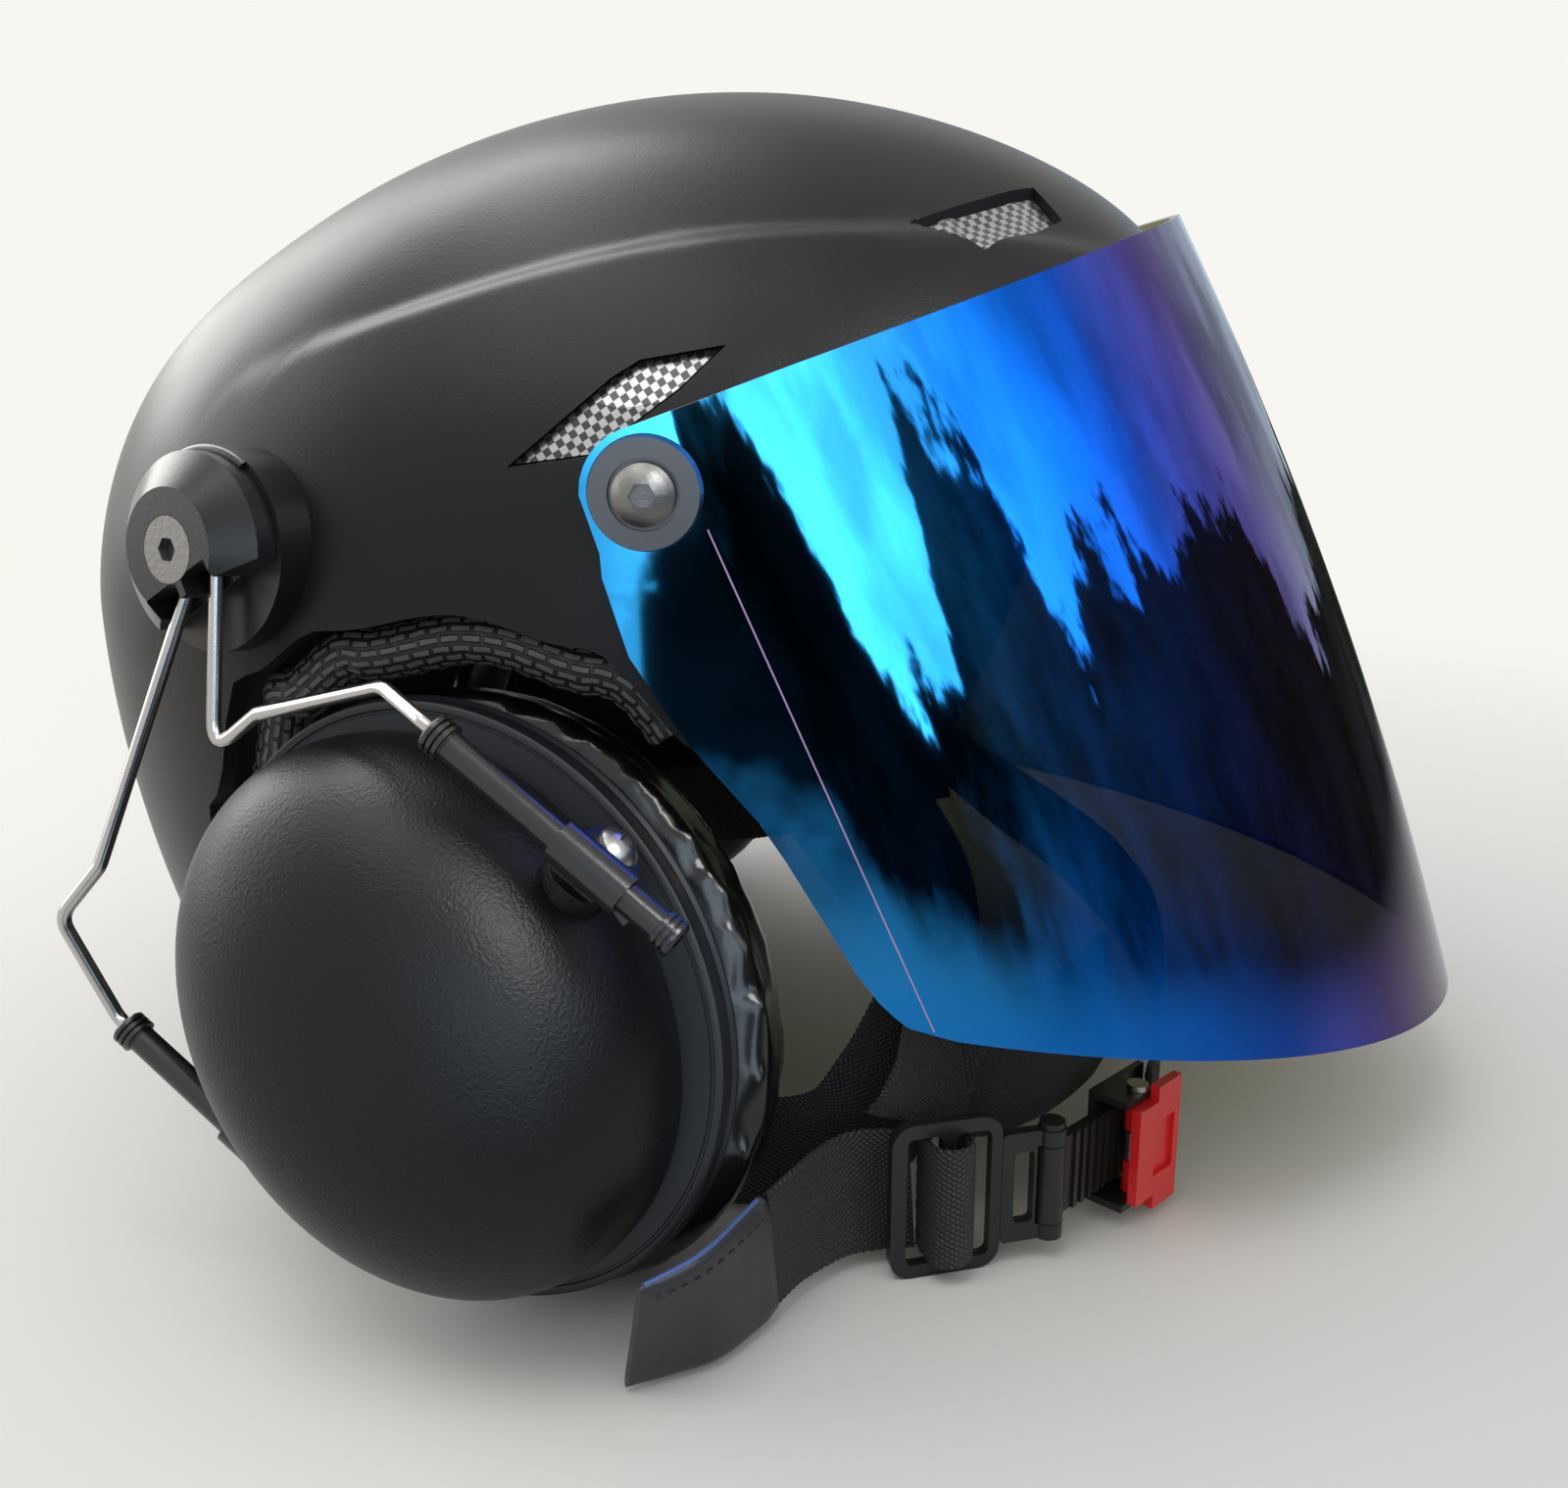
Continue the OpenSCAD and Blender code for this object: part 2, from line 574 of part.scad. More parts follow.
module rear_bracket() {
    difference() {
        union() {
            clip_tube(rear_sleeve, rear_clip_x);
            tilt_frame() translate([0, -rear_end - 1.5, 0]) rotate([-90, 0, 0]) cylinder(d = stud_d, h = 5.5);
        }
        clip_bore(rear_sleeve, rear_clip_x);
    }
}
module bracket_pair() { cup_frame() { front_bracket(); rear_bracket(); } }
module brackets_right() { color([0.06, 0.06, 0.07]) bracket_pair(); }
module brackets_left() { color([0.06, 0.06, 0.07]) left_side() bracket_pair(); }
bracket_screw_l = 11;
module bracket_screw() {
    cup_frame() tilt_frame() translate([0, front_end + bracket_t + 0.1, 0]) rotate([-90, 0, 0]) {
        difference() {
            intersection() {
                cylinder(d = 7.6, h = 2.6);
                translate([0, 0, -2.4]) sphere(d = 10.2);
            }
            translate([0, 0, 1.2]) cylinder(d = 3, h = 4, $fn = 6);
        }
        translate([0, 0, -bracket_screw_l]) cylinder(d = screw_d, h = bracket_screw_l + 0.5);
    }
}
module bracket_screw_right() { color([0.8, 0.8, 0.8]) bracket_screw(); }
module bracket_screw_left() { color([0.8, 0.8, 0.8]) left_side() bracket_screw(); }

// Domed cover of the cup: rings that close towards the top
dome_n = 2.5;
// The cover and the ring are drawn in on the side that faces forwards and up, which leaves a flat rim round the cover
drawn_side = 62;
dome_in = 5;
ring_in = 1.5;
function drawn_shift(in) = [-in * cos(drawn_side), -in * sin(drawn_side), 0];
function oval(a, b, t) = [a * cos(t), b * sin(t)];
module dome_solid(a, b, h, facets, rings) {
    points = concat(
        [for (j = [0 : rings - 1]) let (t = 90 * j / rings, f = pow(cos(t), 2 / dome_n), z = h * pow(sin(t), 2 / dome_n))
            for (i = [0 : facets - 1]) let (p = oval(a * f, b * f, 360 * i / facets)) [p[0], p[1], z]],
        [[0, 0, h], [0, 0, 0]]);
    top = facets * rings;
    walls = [for (j = [0 : rings - 2]) for (i = [0 : facets - 1])
        let (p = j * facets + i, q = j * facets + (i + 1) % facets)
        each [[p, p + facets, q + facets], [p, q + facets, q]]];
    ends = [for (i = [0 : facets - 1])
        let (q = (i + 1) % facets, c = (rings - 1) * facets)
        each [[c + i, top, c + q], [q, top + 1, i]]];
    translate(drawn_shift(dome_in)) rotate([0, 0, cup_turn])
        polyhedron(points = points, faces = concat(walls, ends), convexity = 4);
}
// Pockets in the cover for the front bracket and the sleeve above it, and the bosses for the two pivots
module bracket_pockets(grow) {
    floor_z = front_sleeve[2] - sleeve_d / 2 - 1.6;
    translate([-45, front_sleeve[1] - sleeve_d / 2 - 1.8 - grow, floor_z - grow]) cube([100, 40, 40]);
    translate([-4 - grow, 33.5 - grow, floor_z - 0.8 - grow]) cube([23 + 2 * grow, 40, 40]);
}
dome_a = cup_a - dome_in;
dome_b = cup_b - dome_in;
boss_l = 16;
module dome_hollow() {
    translate([0, 0, -0.01]) dome_solid(dome_a - dome_wall, dome_b - dome_wall, dome_h - dome_wall, 40, 8);
}
module cup_dome() {
    cup_frame() difference() {
        union() {
            difference() {
                dome_solid(dome_a, dome_b, dome_h, 40, 10);
                difference() {
                    dome_hollow();
                    bracket_pockets(dome_wall);
                }
            }
            difference() {
                tilt_frame() translate([0, front_end - boss_l, 0]) rotate([-90, 0, 0]) cylinder(d = boss_d, h = boss_l - 0.1);
                dome_hollow();
            }
        }
        bracket_pockets(0);
        tilt_frame() translate([0, front_end - gap, 0]) rotate([-90, 0, 0]) cylinder(d = ear_d + 1.4, h = 20);
        tilt_frame() rotate([-90, 0, 0]) cylinder(d = screw_d + 0.1, h = 70);
    }
}
module cup_dome_right() { color([0.05, 0.05, 0.055]) cup_dome(); }
module cup_dome_left() { color([0.05, 0.05, 0.055]) left_side() cup_dome(); }
// Ring under the cover: a stepped oval plate with an opening for the ear
ring_over = 1.6;
ring_lip_t = 1.6;
ring_hole = 0.62;
module oval_plate(a, b, h) {
    rotate([0, 0, cup_turn]) linear_extrude(h) polygon([for (i = [0 : 59]) oval(a, b, 6 * i)]);
}
module cup_ring() {
    ring_a = cup_a - ring_in;
    ring_b = cup_b - ring_in;
    cup_frame() difference() {
        translate(drawn_shift(ring_in)) translate([0, 0, -ring_t]) {
            oval_plate(ring_a, ring_b, ring_t - 0.05);
            oval_plate(ring_a + ring_over, ring_b + ring_over, ring_lip_t);
        }
        translate([0, 0, -ring_t - 1]) oval_plate(cup_a * ring_hole, cup_b * ring_hole, ring_t + 2);
        tilt_frame() translate([0, -rear_end - 3, 0]) rotate([-90, 0, 0]) cylinder(d = stud_d + 0.2, h = 8);
    }
}
module cup_ring_right() { color([0.09, 0.09, 0.1]) cup_ring(); }
module cup_ring_left() { color([0.09, 0.09, 0.1]) left_side() cup_ring(); }
// Ear cushion: a crowned ring with drawn-in sides
cushion_band = 20;
cushion_over = 2.2;
cushion_shift = [2.5, 1.9];
cushion_facets = 36;
cushion_section = [[0, 0.06], [0.12, 0], [0.5, 0], [0.88, 0], [1, 0.06], [0.95, 0.4], [1, 0.7], [0.82, 0.95],
    [0.5, 1], [0.18, 0.95], [0, 0.7], [0.05, 0.4]];
module cushion() {
    n = len(cushion_section);
    points = [for (i = [0 : cushion_facets - 1]) for (s = cushion_section)
        let (r = cushion_band * (1 - s[0]), p = oval(cup_a + cushion_over - r, cup_b + cushion_over - r, 360 * i / cushion_facets))
        [p[0], p[1], -ring_t - gap / 3 - cushion_t * s[1]]];
    faces = [for (i = [0 : cushion_facets - 1]) for (k = [0 : n - 1])
        let (j = (i + 1) % cushion_facets, m = (k + 1) % n)
        each [[i * n + k, j * n + k, j * n + m], [i * n + k, j * n + m, i * n + m]]];
    cup_frame() translate([cushion_shift[0], cushion_shift[1], 0]) rotate([0, 0, cup_turn])
        polyhedron(points = points, faces = faces, convexity = 6);
}
module cushion_right() { color([0.03, 0.03, 0.03]) cushion(); }
module cushion_left() { color([0.03, 0.03, 0.03]) left_side() cushion(); }
module cup_damper() {
    slack = dome_wall + 1;
    cup_frame() translate([0, 0, gap / 3]) intersection() {
        dome_solid(dome_a - slack - 3, dome_b - slack - 6, dome_h, 36, 6);
        translate([-80, -80, 0]) cube([160, 160, damper_t]);
    }
}
module cup_damper_right() { color([0.2, 0.2, 0.2]) cup_damper(); }
module cup_damper_left() { color([0.2, 0.2, 0.2]) left_side() cup_damper(); }

// The straps' routes are drawn for a shell of this half width, and follow the real one
route_half_w = 106;
route_scale = shell_half_w / route_half_w;
// Flat webbing through points, with the direction of its width at each point
module ribbon(pts, widths, w, t) {
    n = len(pts);
    ring = [for (i = [0 : n - 1])
        let (a = aim(pts, i), across = unit(widths[i] - (widths[i] * a) * a), up = cross(a, across))
        for (c = [[-1, -1], [1, -1], [1, 1], [-1, 1]])
            pts[i] + c[0] * w / 2 * across + c[1] * t / 2 * up];
    walls = [for (i = [0 : n - 2]) for (k = [0 : 3])
        let (p = i * 4 + k, q = i * 4 + (k + 1) % 4)
        each [[p, p + 4, q + 4], [p, q + 4, q]]];
    ends = [[0, 1, 2], [0, 2, 3], [(n - 1) * 4 + 2, (n - 1) * 4 + 1, (n - 1) * 4],
        [(n - 1) * 4 + 3, (n - 1) * 4 + 2, (n - 1) * 4]];
    polyhedron(points = ring, faces = concat(walls, ends), convexity = 6);
}
// Slider frame: x along the strap, y away from the near side, z up
slider_p = [17, -110, 0];
slider_yaw = 15;
module slider_frame() { translate(slider_p) rotate([0, 0, slider_yaw]) children(); }
buckle_mid = 16;
slider_h = 32;
slider_bar = 3;
slot_h = web_w + 1.4;
mid_bar_x = 11.4;
mid_bar = 2.8;
hinge_x = slider_w + 10.5;
barrel_d = pin_d + 2.6;
// A flat slab with round corners, seen from the near side, drawn from its lower left corner
module round_slab(w, h, t, r) {
    rotate([90, 0, 0]) translate([0, 0, -t]) linear_extrude(t) {
        translate([r, 0]) square([w - 2 * r, h]);
        translate([0, r]) square([w, h - 2 * r]);
        for (x = [r, w - r]) for (y = [r, h - r]) translate([x, y]) circle(r);
    }
}
module slider() {
    slot_w = (mid_bar_x - mid_bar / 2) - slider_bar;
    color([0.12, 0.12, 0.13]) slider_frame() difference() {
        translate([0, 0, buckle_mid - slider_h / 2]) round_slab(slider_w, slider_h, slider_t, 4.5);
        for (x = [slider_bar, mid_bar_x + mid_bar / 2])
            translate([x, -1, buckle_mid - slot_h / 2]) round_slab(slot_w, slot_h, slider_t + 2, 1.5);
    }
}
frame_h = 23;
frame_low = buckle_mid - frame_h / 2;
barrel_l = 3.2;
module hinge_frame() {
    color([0.1, 0.1, 0.11]) slider_frame() difference() {
        union() {
            translate([slider_w + 0.1, 0, frame_low]) round_slab(hinge_x - slider_w - 1, frame_h, slider_t, 1);
            for (z = [frame_low, frame_low + frame_h - barrel_l])
                translate([hinge_x, slider_t / 2, z]) cylinder(d = barrel_d, h = barrel_l);
        }
        translate([slider_w + 2.6, -1, frame_low + 4]) round_slab(4, frame_h - 8, slider_t + 2, 1);
        translate([hinge_x, slider_t / 2, -1]) cylinder(d = pin_d + 0.1, h = 40);
        translate([hinge_x - barrel_d / 2 - 0.5, -5, frame_low + barrel_l]) cube([12, 14, frame_h - 2 * barrel_l]);
    }
}
// Tongue frame: its origin is on the hinge line, x along the tongue
tongue_yaw = 46;
tongue_p = slider_p + turn_z([hinge_x, slider_t / 2, 0], slider_yaw);
module tongue_frame() { translate(tongue_p) rotate([0, 0, tongue_yaw]) children(); }
module hinge_pin() {
    color([0.7, 0.7, 0.7]) tongue_frame() {
        translate([0, 0, frame_low - 0.6]) cylinder(d = pin_d, h = frame_h + 1);
        translate([0, 0, frame_low + frame_h + 0.1]) cylinder(d = pin_d + 2, h = 1.2);
    }
}
tongue_w = frame_h - 2 * barrel_l - 0.4;
tooth_pitch = 2.6;
tooth_h = 0.6;
module toothed_tongue() {
    color([0.08, 0.08, 0.08]) tongue_frame() translate([0, 0, buckle_mid - tongue_w / 2]) difference() {
        union() {
            translate([1.5, -tongue_t / 2, 0]) cube([tongue_l - 1.5, tongue_t, tongue_w]);
            cylinder(d = barrel_d, h = tongue_w);
            for (k = [0 : 8]) translate([6.2 + k * tooth_pitch, -tongue_t / 2 - tooth_h, 0]) cube([1.2, tooth_h + 0.2, tongue_w]);
        }
        translate([0, 0, -1]) cylinder(d = pin_d + 0.1, h = 40);
    }
}
module slider_loop() {
    z = [0, 0, 1];
    route = [[mid_bar_x + 1.2, slider_t + 5, 0], [mid_bar_x + 3.9, slider_t + 1.2, 0], [mid_bar_x + 3.9, -1, 0],
        [mid_bar_x + 2.2, -3.6, 0], [mid_bar_x - 1, -4, 0], [mid_bar_x - 3.4, -2.4, 0],
        [mid_bar_x - 4, slider_t / 2, 0], [mid_bar_x - 4, slider_t + 2.4, 0]];
    color([0.05, 0.05, 0.05]) slider_frame() translate([0, 0, buckle_mid])
        ribbon(route, [for (p = route) z], web_w, web_t);
}
// The loose end of the strap, and the folded satin patch over it
module strap_tail() {
    route = [[21.3, -103.6, 16], [14, -103.2, 15.5], [8, -105.5, 15.5], [1, -113, 15.5], [-6, -123.5, 15]];
    widths = [[0, 0, 1], [0, 0.1, 1], [0, 0.1, 1], [0, 0, 1], [0, 0, 1]];
    color([0.05, 0.05, 0.05]) ribbon(route_scale * route, widths, web_w, web_t);
}
module tail_tab() {
    route = [[-6.1, -123.7, 15], [-8, -126.8, 14.5], [-16, -137.5, 14], [-28, -145.5, 13.3]];
    widths = [[0, 0, 1], [0, -0.1, 1], [0, -0.3, 1], [0, -0.42, 1]];
    color([0.04, 0.05, 0.08]) ribbon(route_scale * route, widths, web_w + 1, web_t + 2);
}

// Chin straps: the front leg and the rear leg of each side meet above the buckle
module chin_strap_right() {
    front_leg = [[1, -95.8, 101], [14, -95, 84], [26, -94.6, 64], [27, -95.6, 46], [25, -97, 34], [22, -98, 27]];
    front_w = [[1, 0, 0.3], [1, 0, 0.4], [0.9, 0.4, 0.2], [0.6, 0.8, 0], [0.7, 0.7, 0.2], [0.8, 0.4, 0.3]];
    rear_leg = [[-106.5, -64.6, 57], [-92, -70, 44], [-66, -74, 27], [-38, -80, 16], [-10, -86, 14], [9, -90, 19], [19, -91.5, 32],
        [26, -92, 46]];
    rear_w = [[0.2, 0, 1], [0.15, 0, 1], [0.1, 0, 1], [0, 0, 1], [0, 0, 1], [-0.4, 0, 0.9], [-0.75, 0, 0.65], [-0.85, 0, 0.5]];
    color([0.05, 0.05, 0.05]) {
        ribbon(route_scale * front_leg, front_w, web_w, web_t);
        ribbon(route_scale * rear_leg, rear_w, web_w, web_t);
    }
}
// The padded flap behind the buckle
module buckle_flap() {
    route = [[31, -85.5, 31], [40, -84, 32], [50, -79.5, 34], [59, -71, 36], [65, -62, 38]];
    color([0.05, 0.05, 0.05]) ribbon(route_scale * route, [for (p = route) [0, 0, 1]], 30, 3);
}
module chin_strap_left() {
    z = [0, 0, 1];
    across = [[71.8, -77, 16], [76, -66, 16.5], [80, -48, 18], [86, -25, 21], [89, 0, 25], [86, 24, 29], [76, 48, 35],
        [58, 70, 44], [38, 86, 56], [20, 94, 70], [9, 95.5, 86], [1, 95.8, 101]];
    across_w = [z, z, z, z, z, z, [-0.2, 0, 1], [-0.4, 0.1, 1], [-0.6, 0.1, 0.8], [-0.85, 0, 0.5], [-1, 0, 0.2], [-1, 0, 0.1]];
    rear_leg = [[44, 81, 50], [20, 82, 44], [-8, 80, 38], [-48, 76, 36], [-85, 70, 44], [-106.5, 64.6, 57]];
    rear_w = [[0, 0, 1], [0, 0, 1], [0, 0, 1], [0, 0, 1], [0.1, 0, 1], [0.2, 0, 1]];
    color([0.05, 0.05, 0.05]) {
        ribbon(route_scale * across, across_w, web_w, web_t);
        ribbon(route_scale * rear_leg, rear_w, web_w, web_t);
    }
}
module strap_rivets() {
    color([0.4, 0.4, 0.4]) both_sides() {
        rod(route_scale * [1, -94.8, 103], route_scale * [1, -92.3, 103.2], 9);
        rod(route_scale * [-105.6, -65.3, 58.6], route_scale * [-104, -64.3, 58.6], 9);
    }
}

// Buckle case: a back and two ears that hold the tongue and the lever's upright pin
case_x = 16.5;
case_h = 24;
case_wall = 1.5;
case_low = buckle_mid - case_h / 2;
case_back = tongue_t / 2 + 0.2;
case_pin_x = case_x + 7;
case_pin_y = -4.1;
ear_l = 9.6;
ear_margin = 2.1;
module buckle_case() {
    color([0.1, 0.1, 0.11]) tongue_frame() difference() {
        union() {
            translate([case_x, case_back, case_low]) cube([case_l, case_wall, case_h]);
            for (z = [case_low, case_low + case_h - case_wall])
                translate([case_x, case_pin_y - ear_margin, z])
                    cube([ear_l, ear_margin - case_pin_y + case_back + case_wall, case_wall]);
        }
        translate([case_pin_x, case_pin_y, -1]) cylinder(d = lever_pin_d + 0.1, h = 60);
        translate([case_x + case_l - 3.6, -10, buckle_mid - 9]) cube([2, 30, 18]);
    }
}
module case_pin() {
    color([0.75, 0.75, 0.75]) tongue_frame() translate([case_pin_x, case_pin_y, case_low - 0.6]) {
        cylinder(d = lever_pin_d, h = case_h + 1.2);
        translate([0, 0, case_h + 0.7]) cylinder(d = lever_pin_d + 2, h = 1.2);
    }
}
// Lever: a barrel on the pin between the ears, and a plate in front that widens past them
lever_h = case_h - 2 * case_wall - 0.4;
lever_reach = 9.4;
lever_back = -2.4;
lever_t = 2;
paddle_h = 27;
barrel_r = 2.1;
module release_lever() {
    low = buckle_mid - lever_h / 2;
    color([0.85, 0.12, 0.12]) tongue_frame() translate([case_pin_x, case_pin_y, 0]) difference() {
        union() {
            translate([0, 0, low]) cylinder(r = barrel_r, h = lever_h);
            translate([-5.5, lever_back - lever_t, low]) cube([8, lever_t, lever_h]);
            translate([-barrel_r, lever_back - 0.1, low]) cube([2 * barrel_r, 0.1 - lever_back, lever_h]);
            translate([1, lever_back - lever_t, buckle_mid - paddle_h / 2]) cube([lever_reach - 1, lever_t, paddle_h]);
        }
        translate([0, 0, -1]) cylinder(d = lever_pin_d + 0.1, h = 60);
        translate([0.5, lever_back - lever_t - 1, buckle_mid - 6]) cube([7, 1.9, 12]);
        translate([-8, lever_back, buckle_mid - 3.4]) cube([12, 10, 6.8]);
    }
}
module lever_pawl() {
    color([0.6, 0.6, 0.6]) tongue_frame() translate([case_pin_x + 4.4, case_pin_y + lever_back, buckle_mid - 4])
        cube([0.9, 4.8, 8]);
}
module lever_spring() {
    color([0.7, 0.7, 0.7]) tongue_frame() translate([case_pin_x, case_pin_y, buckle_mid - 3]) difference() {
        cylinder(d = 2 * barrel_r, h = 6);
        translate([0, 0, -1]) cylinder(d = lever_pin_d + 0.1, h = 8);
    }
}

outer_shell();
foam_liner();
comfort_lining();
ear_rolls();
vent_inserts();
pivot_spacers();
pivot_screws();
pivot_nuts();
mount_plate_right();
mount_plate_left();
mount_screws();
mount_nuts();
visor();
pivot_washers();
holder_right();
holder_left();
front_wire_right();
rear_wire_right();
front_wire_left();
rear_wire_left();
sleeves_right();
sleeves_left();
brackets_right();
brackets_left();
bracket_screw_right();
bracket_screw_left();
cup_dome_right();
cup_dome_left();
cup_ring_right();
cup_ring_left();
cushion_right();
cushion_left();
cup_damper_right();
cup_damper_left();
chin_strap_right();
chin_strap_left();
strap_rivets();
slider();
hinge_frame();
hinge_pin();
toothed_tongue();
slider_loop();
strap_tail();
tail_tab();
buckle_flap();
buckle_case();
case_pin();
release_lever();
lever_pawl();
lever_spring();
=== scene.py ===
"""Looks of the helmet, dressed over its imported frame. Metres; X forwards, Y to the wearer's left, Z up."""
import math

import bmesh
import bpy
import numpy as np
from mathutils import Matrix, Vector


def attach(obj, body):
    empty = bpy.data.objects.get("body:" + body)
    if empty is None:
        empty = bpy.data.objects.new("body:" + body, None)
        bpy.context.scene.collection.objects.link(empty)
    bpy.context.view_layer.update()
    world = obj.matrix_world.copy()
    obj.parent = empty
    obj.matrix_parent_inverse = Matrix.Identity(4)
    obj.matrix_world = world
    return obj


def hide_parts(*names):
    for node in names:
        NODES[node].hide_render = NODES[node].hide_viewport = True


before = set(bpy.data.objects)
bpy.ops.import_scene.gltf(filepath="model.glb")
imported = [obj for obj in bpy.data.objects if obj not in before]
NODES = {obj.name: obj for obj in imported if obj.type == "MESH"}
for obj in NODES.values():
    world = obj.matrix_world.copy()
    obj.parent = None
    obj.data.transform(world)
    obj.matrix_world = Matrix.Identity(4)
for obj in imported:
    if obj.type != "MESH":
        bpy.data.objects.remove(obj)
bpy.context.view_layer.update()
scene = bpy.context.scene
MM = 0.001


def new_object(name, data):
    ob = bpy.data.objects.new(name, data)
    scene.collection.objects.link(ob)
    return ob


# Camera
cam = new_object("camera", bpy.data.cameras.new("camera"))
cam.location = (-0.003, -0.370, 0.175)
cam.rotation_euler = (math.radians(75), 0, 0)
cam.data.sensor_width = 36
cam.data.lens = 36
cam.data.clip_start = 0.01
scene.camera = cam
scene.view_settings.view_transform = "Standard"


# Materials
def feed(node, values):
    """Sets inputs of a node. Another node's output is linked instead."""
    for key, value in values.items():
        if isinstance(value, bpy.types.NodeSocket):
            node.id_data.links.new(value, node.inputs[key])
        else:
            node.inputs[key].default_value = value


def node_of(nt, kind, values=None, **settings):
    n = nt.nodes.new(kind)
    for key, value in settings.items():
        setattr(n, key, value)
    feed(n, values or {})
    return n


def new_material(name, values=None):
    m = bpy.data.materials.new(name)
    m.use_nodes = True
    nt = m.node_tree
    b = nt.nodes["Principled BSDF"]
    feed(b, values or {})
    return m, nt, b


def output_of(nt, kind, name):
    return node_of(nt, kind).outputs[name]


def object_place(nt):
    return output_of(nt, "ShaderNodeTexCoord", "Object")


def split(nt, vector):
    """The vector's parts, as the outputs X, Y and Z."""
    return node_of(nt, "ShaderNodeSeparateXYZ", {"Vector": vector}).outputs


def math_of(nt, operation, *values):
    """One Math node; each value is a number or another node's output."""
    return node_of(nt, "ShaderNodeMath", dict(enumerate(values)), operation=operation).outputs[0]


def fitted(nt, source, to_min=0.0, to_max=1.0, from_min=0.0, from_max=1.0, **settings):
    spans = {"From Min": from_min, "From Max": from_max, "To Min": to_min, "To Max": to_max}
    return node_of(nt, "ShaderNodeMapRange", {"Value": source, **spans}, **settings).outputs["Result"]


def noise_of(nt, vector, scale, detail=2.0, rough=0.5):
    values = {"Vector": vector, "Scale": scale, "Detail": detail, "Roughness": rough}
    return node_of(nt, "ShaderNodeTexNoise", values).outputs["Fac"]


def ramp_of(nt, source, low, high, stops):
    """A colour ramp over source. Each stop is a value of source with a grey level or a colour."""
    ramp = node_of(nt, "ShaderNodeValToRGB", {"Fac": fitted(nt, source, from_min=low, from_max=high)})
    elements = ramp.color_ramp.elements
    rows = [((at - low) / (high - low), (*(np.ones(3) * tint), 1)) for at, tint in stops]
    for element, row in zip(elements, (rows[0], rows[-1])):
        element.position, element.color = row
    for place, colour in rows[1:-1]:
        elements.new(place).color = colour
    return ramp.outputs["Color"]


def mix_shaders(nt, share, one, two):
    """Puts one on the surface where share is 0 and two where it is 1."""
    mix = node_of(nt, "ShaderNodeMixShader", {"Fac": share, 1: one.outputs[0], 2: two.outputs[0]})
    feed(nt.nodes.get("Material Output") or nt.nodes["World Output"], {"Surface": mix.outputs[0]})


def bump_of(nt, height, strength, distance, **settings):
    values = {"Height": height, "Strength": strength, "Distance": distance}
    bump = node_of(nt, "ShaderNodeBump", values, **settings)
    feed(nt.nodes["Principled BSDF"], {"Normal": bump.outputs["Normal"]})


def tone_of(nt, factor, one, two):
    """The base colour goes from one to two with factor."""
    tone = node_of(nt, "ShaderNodeMix", {"Factor": factor, "A": (*one, 1), "B": (*two, 1)}, data_type="RGBA")
    feed(nt.nodes["Principled BSDF"], {"Base Color": tone.outputs["Result"]})


def shade(colour, by):
    return [min(c * by, 1) for c in colour]


def plain(name, colour, rough, metallic=0.0, grain=0.0, fineness=900.0, coat=0.0, spots=0.0, spec=0.5,
          sheen=0.0):
    """A little wear: roughness and tone drift with soft noise. The grain is a fine bump."""
    m, nt, b = new_material(name)
    soft = noise_of(nt, object_place(nt), 28.0, 4.0, 0.55)
    worn = fitted(nt, soft, max(rough - 0.05 - spots, 0.02), rough + 0.06 + spots)
    feed(b, {"Metallic": metallic, "Specular IOR Level": spec, "Coat Weight": coat, "Coat Roughness": 0.12,
             "Sheen Weight": sheen, "Roughness": worn})
    tone_of(nt, soft, shade(colour, 0.86), shade(colour, 1.14))
    if grain:
        bump_of(nt, noise_of(nt, object_place(nt), fineness, 2.0, 0.6), grain, 0.0003)
    return m


def woven(name, colour, along, across, strength, rough, sheen):
    """Cloth whose threads cross, as a bump and a tone over the UV map, whose units are metres."""
    values = {"Roughness": rough, "Specular IOR Level": 0.35, "Sheen Weight": sheen}
    m, nt, _ = new_material(name, values)
    part = split(nt, output_of(nt, "ShaderNodeUVMap", "UV"))
    waves = [math_of(nt, "SINE", math_of(nt, "MULTIPLY", part[axis], 2 * math.pi / pitch))
             for axis, pitch in (("X", along), ("Y", across))]
    threads = fitted(nt, math_of(nt, "MULTIPLY", *waves), from_min=-1.0)
    fuzz = noise_of(nt, object_place(nt), 2600.0, 3.0)
    bump_of(nt, math_of(nt, "MULTIPLY_ADD", fuzz, 0.35, threads), strength, 0.0006)
    tone_of(nt, threads, shade(colour, 0.45), shade(colour, 1.35))
    return m


shell_mat = plain("shell_black", (0.007, 0.0072, 0.0085), 0.35, grain=0.14, fineness=1500, spec=0.2)
cup_mat = plain("cup_black", (0.005, 0.0052, 0.0065), 0.36, grain=0.45, fineness=1500, spec=0.25)
band_mat = plain("band_grey", (0.012, 0.014, 0.019), 0.42, grain=0.08, spots=0.05, spec=0.35)
mount_mat = plain("mount_black", (0.008, 0.008, 0.0095), 0.30, grain=0.1, fineness=1200, spec=0.4)
sleeve_mat = plain("sleeve_black", (0.012, 0.012, 0.014), 0.26, grain=0.1, fineness=700, coat=0.15)
steel_mat = plain("steel_bright", (0.34, 0.335, 0.325), 0.30, metallic=1.0, grain=0.05, fineness=2500)
screw_mat = plain("screw_dull", (0.19, 0.185, 0.178), 0.42, metallic=1.0, grain=0.3, spots=0.06)
wire_mat = plain("wire_bright", (0.46, 0.45, 0.44), 0.18, metallic=1.0, grain=0.03, fineness=1800)
washer_mat = plain("washer_gunmetal", (0.12, 0.115, 0.115), 0.28, metallic=0.9, grain=0.04, fineness=2000)
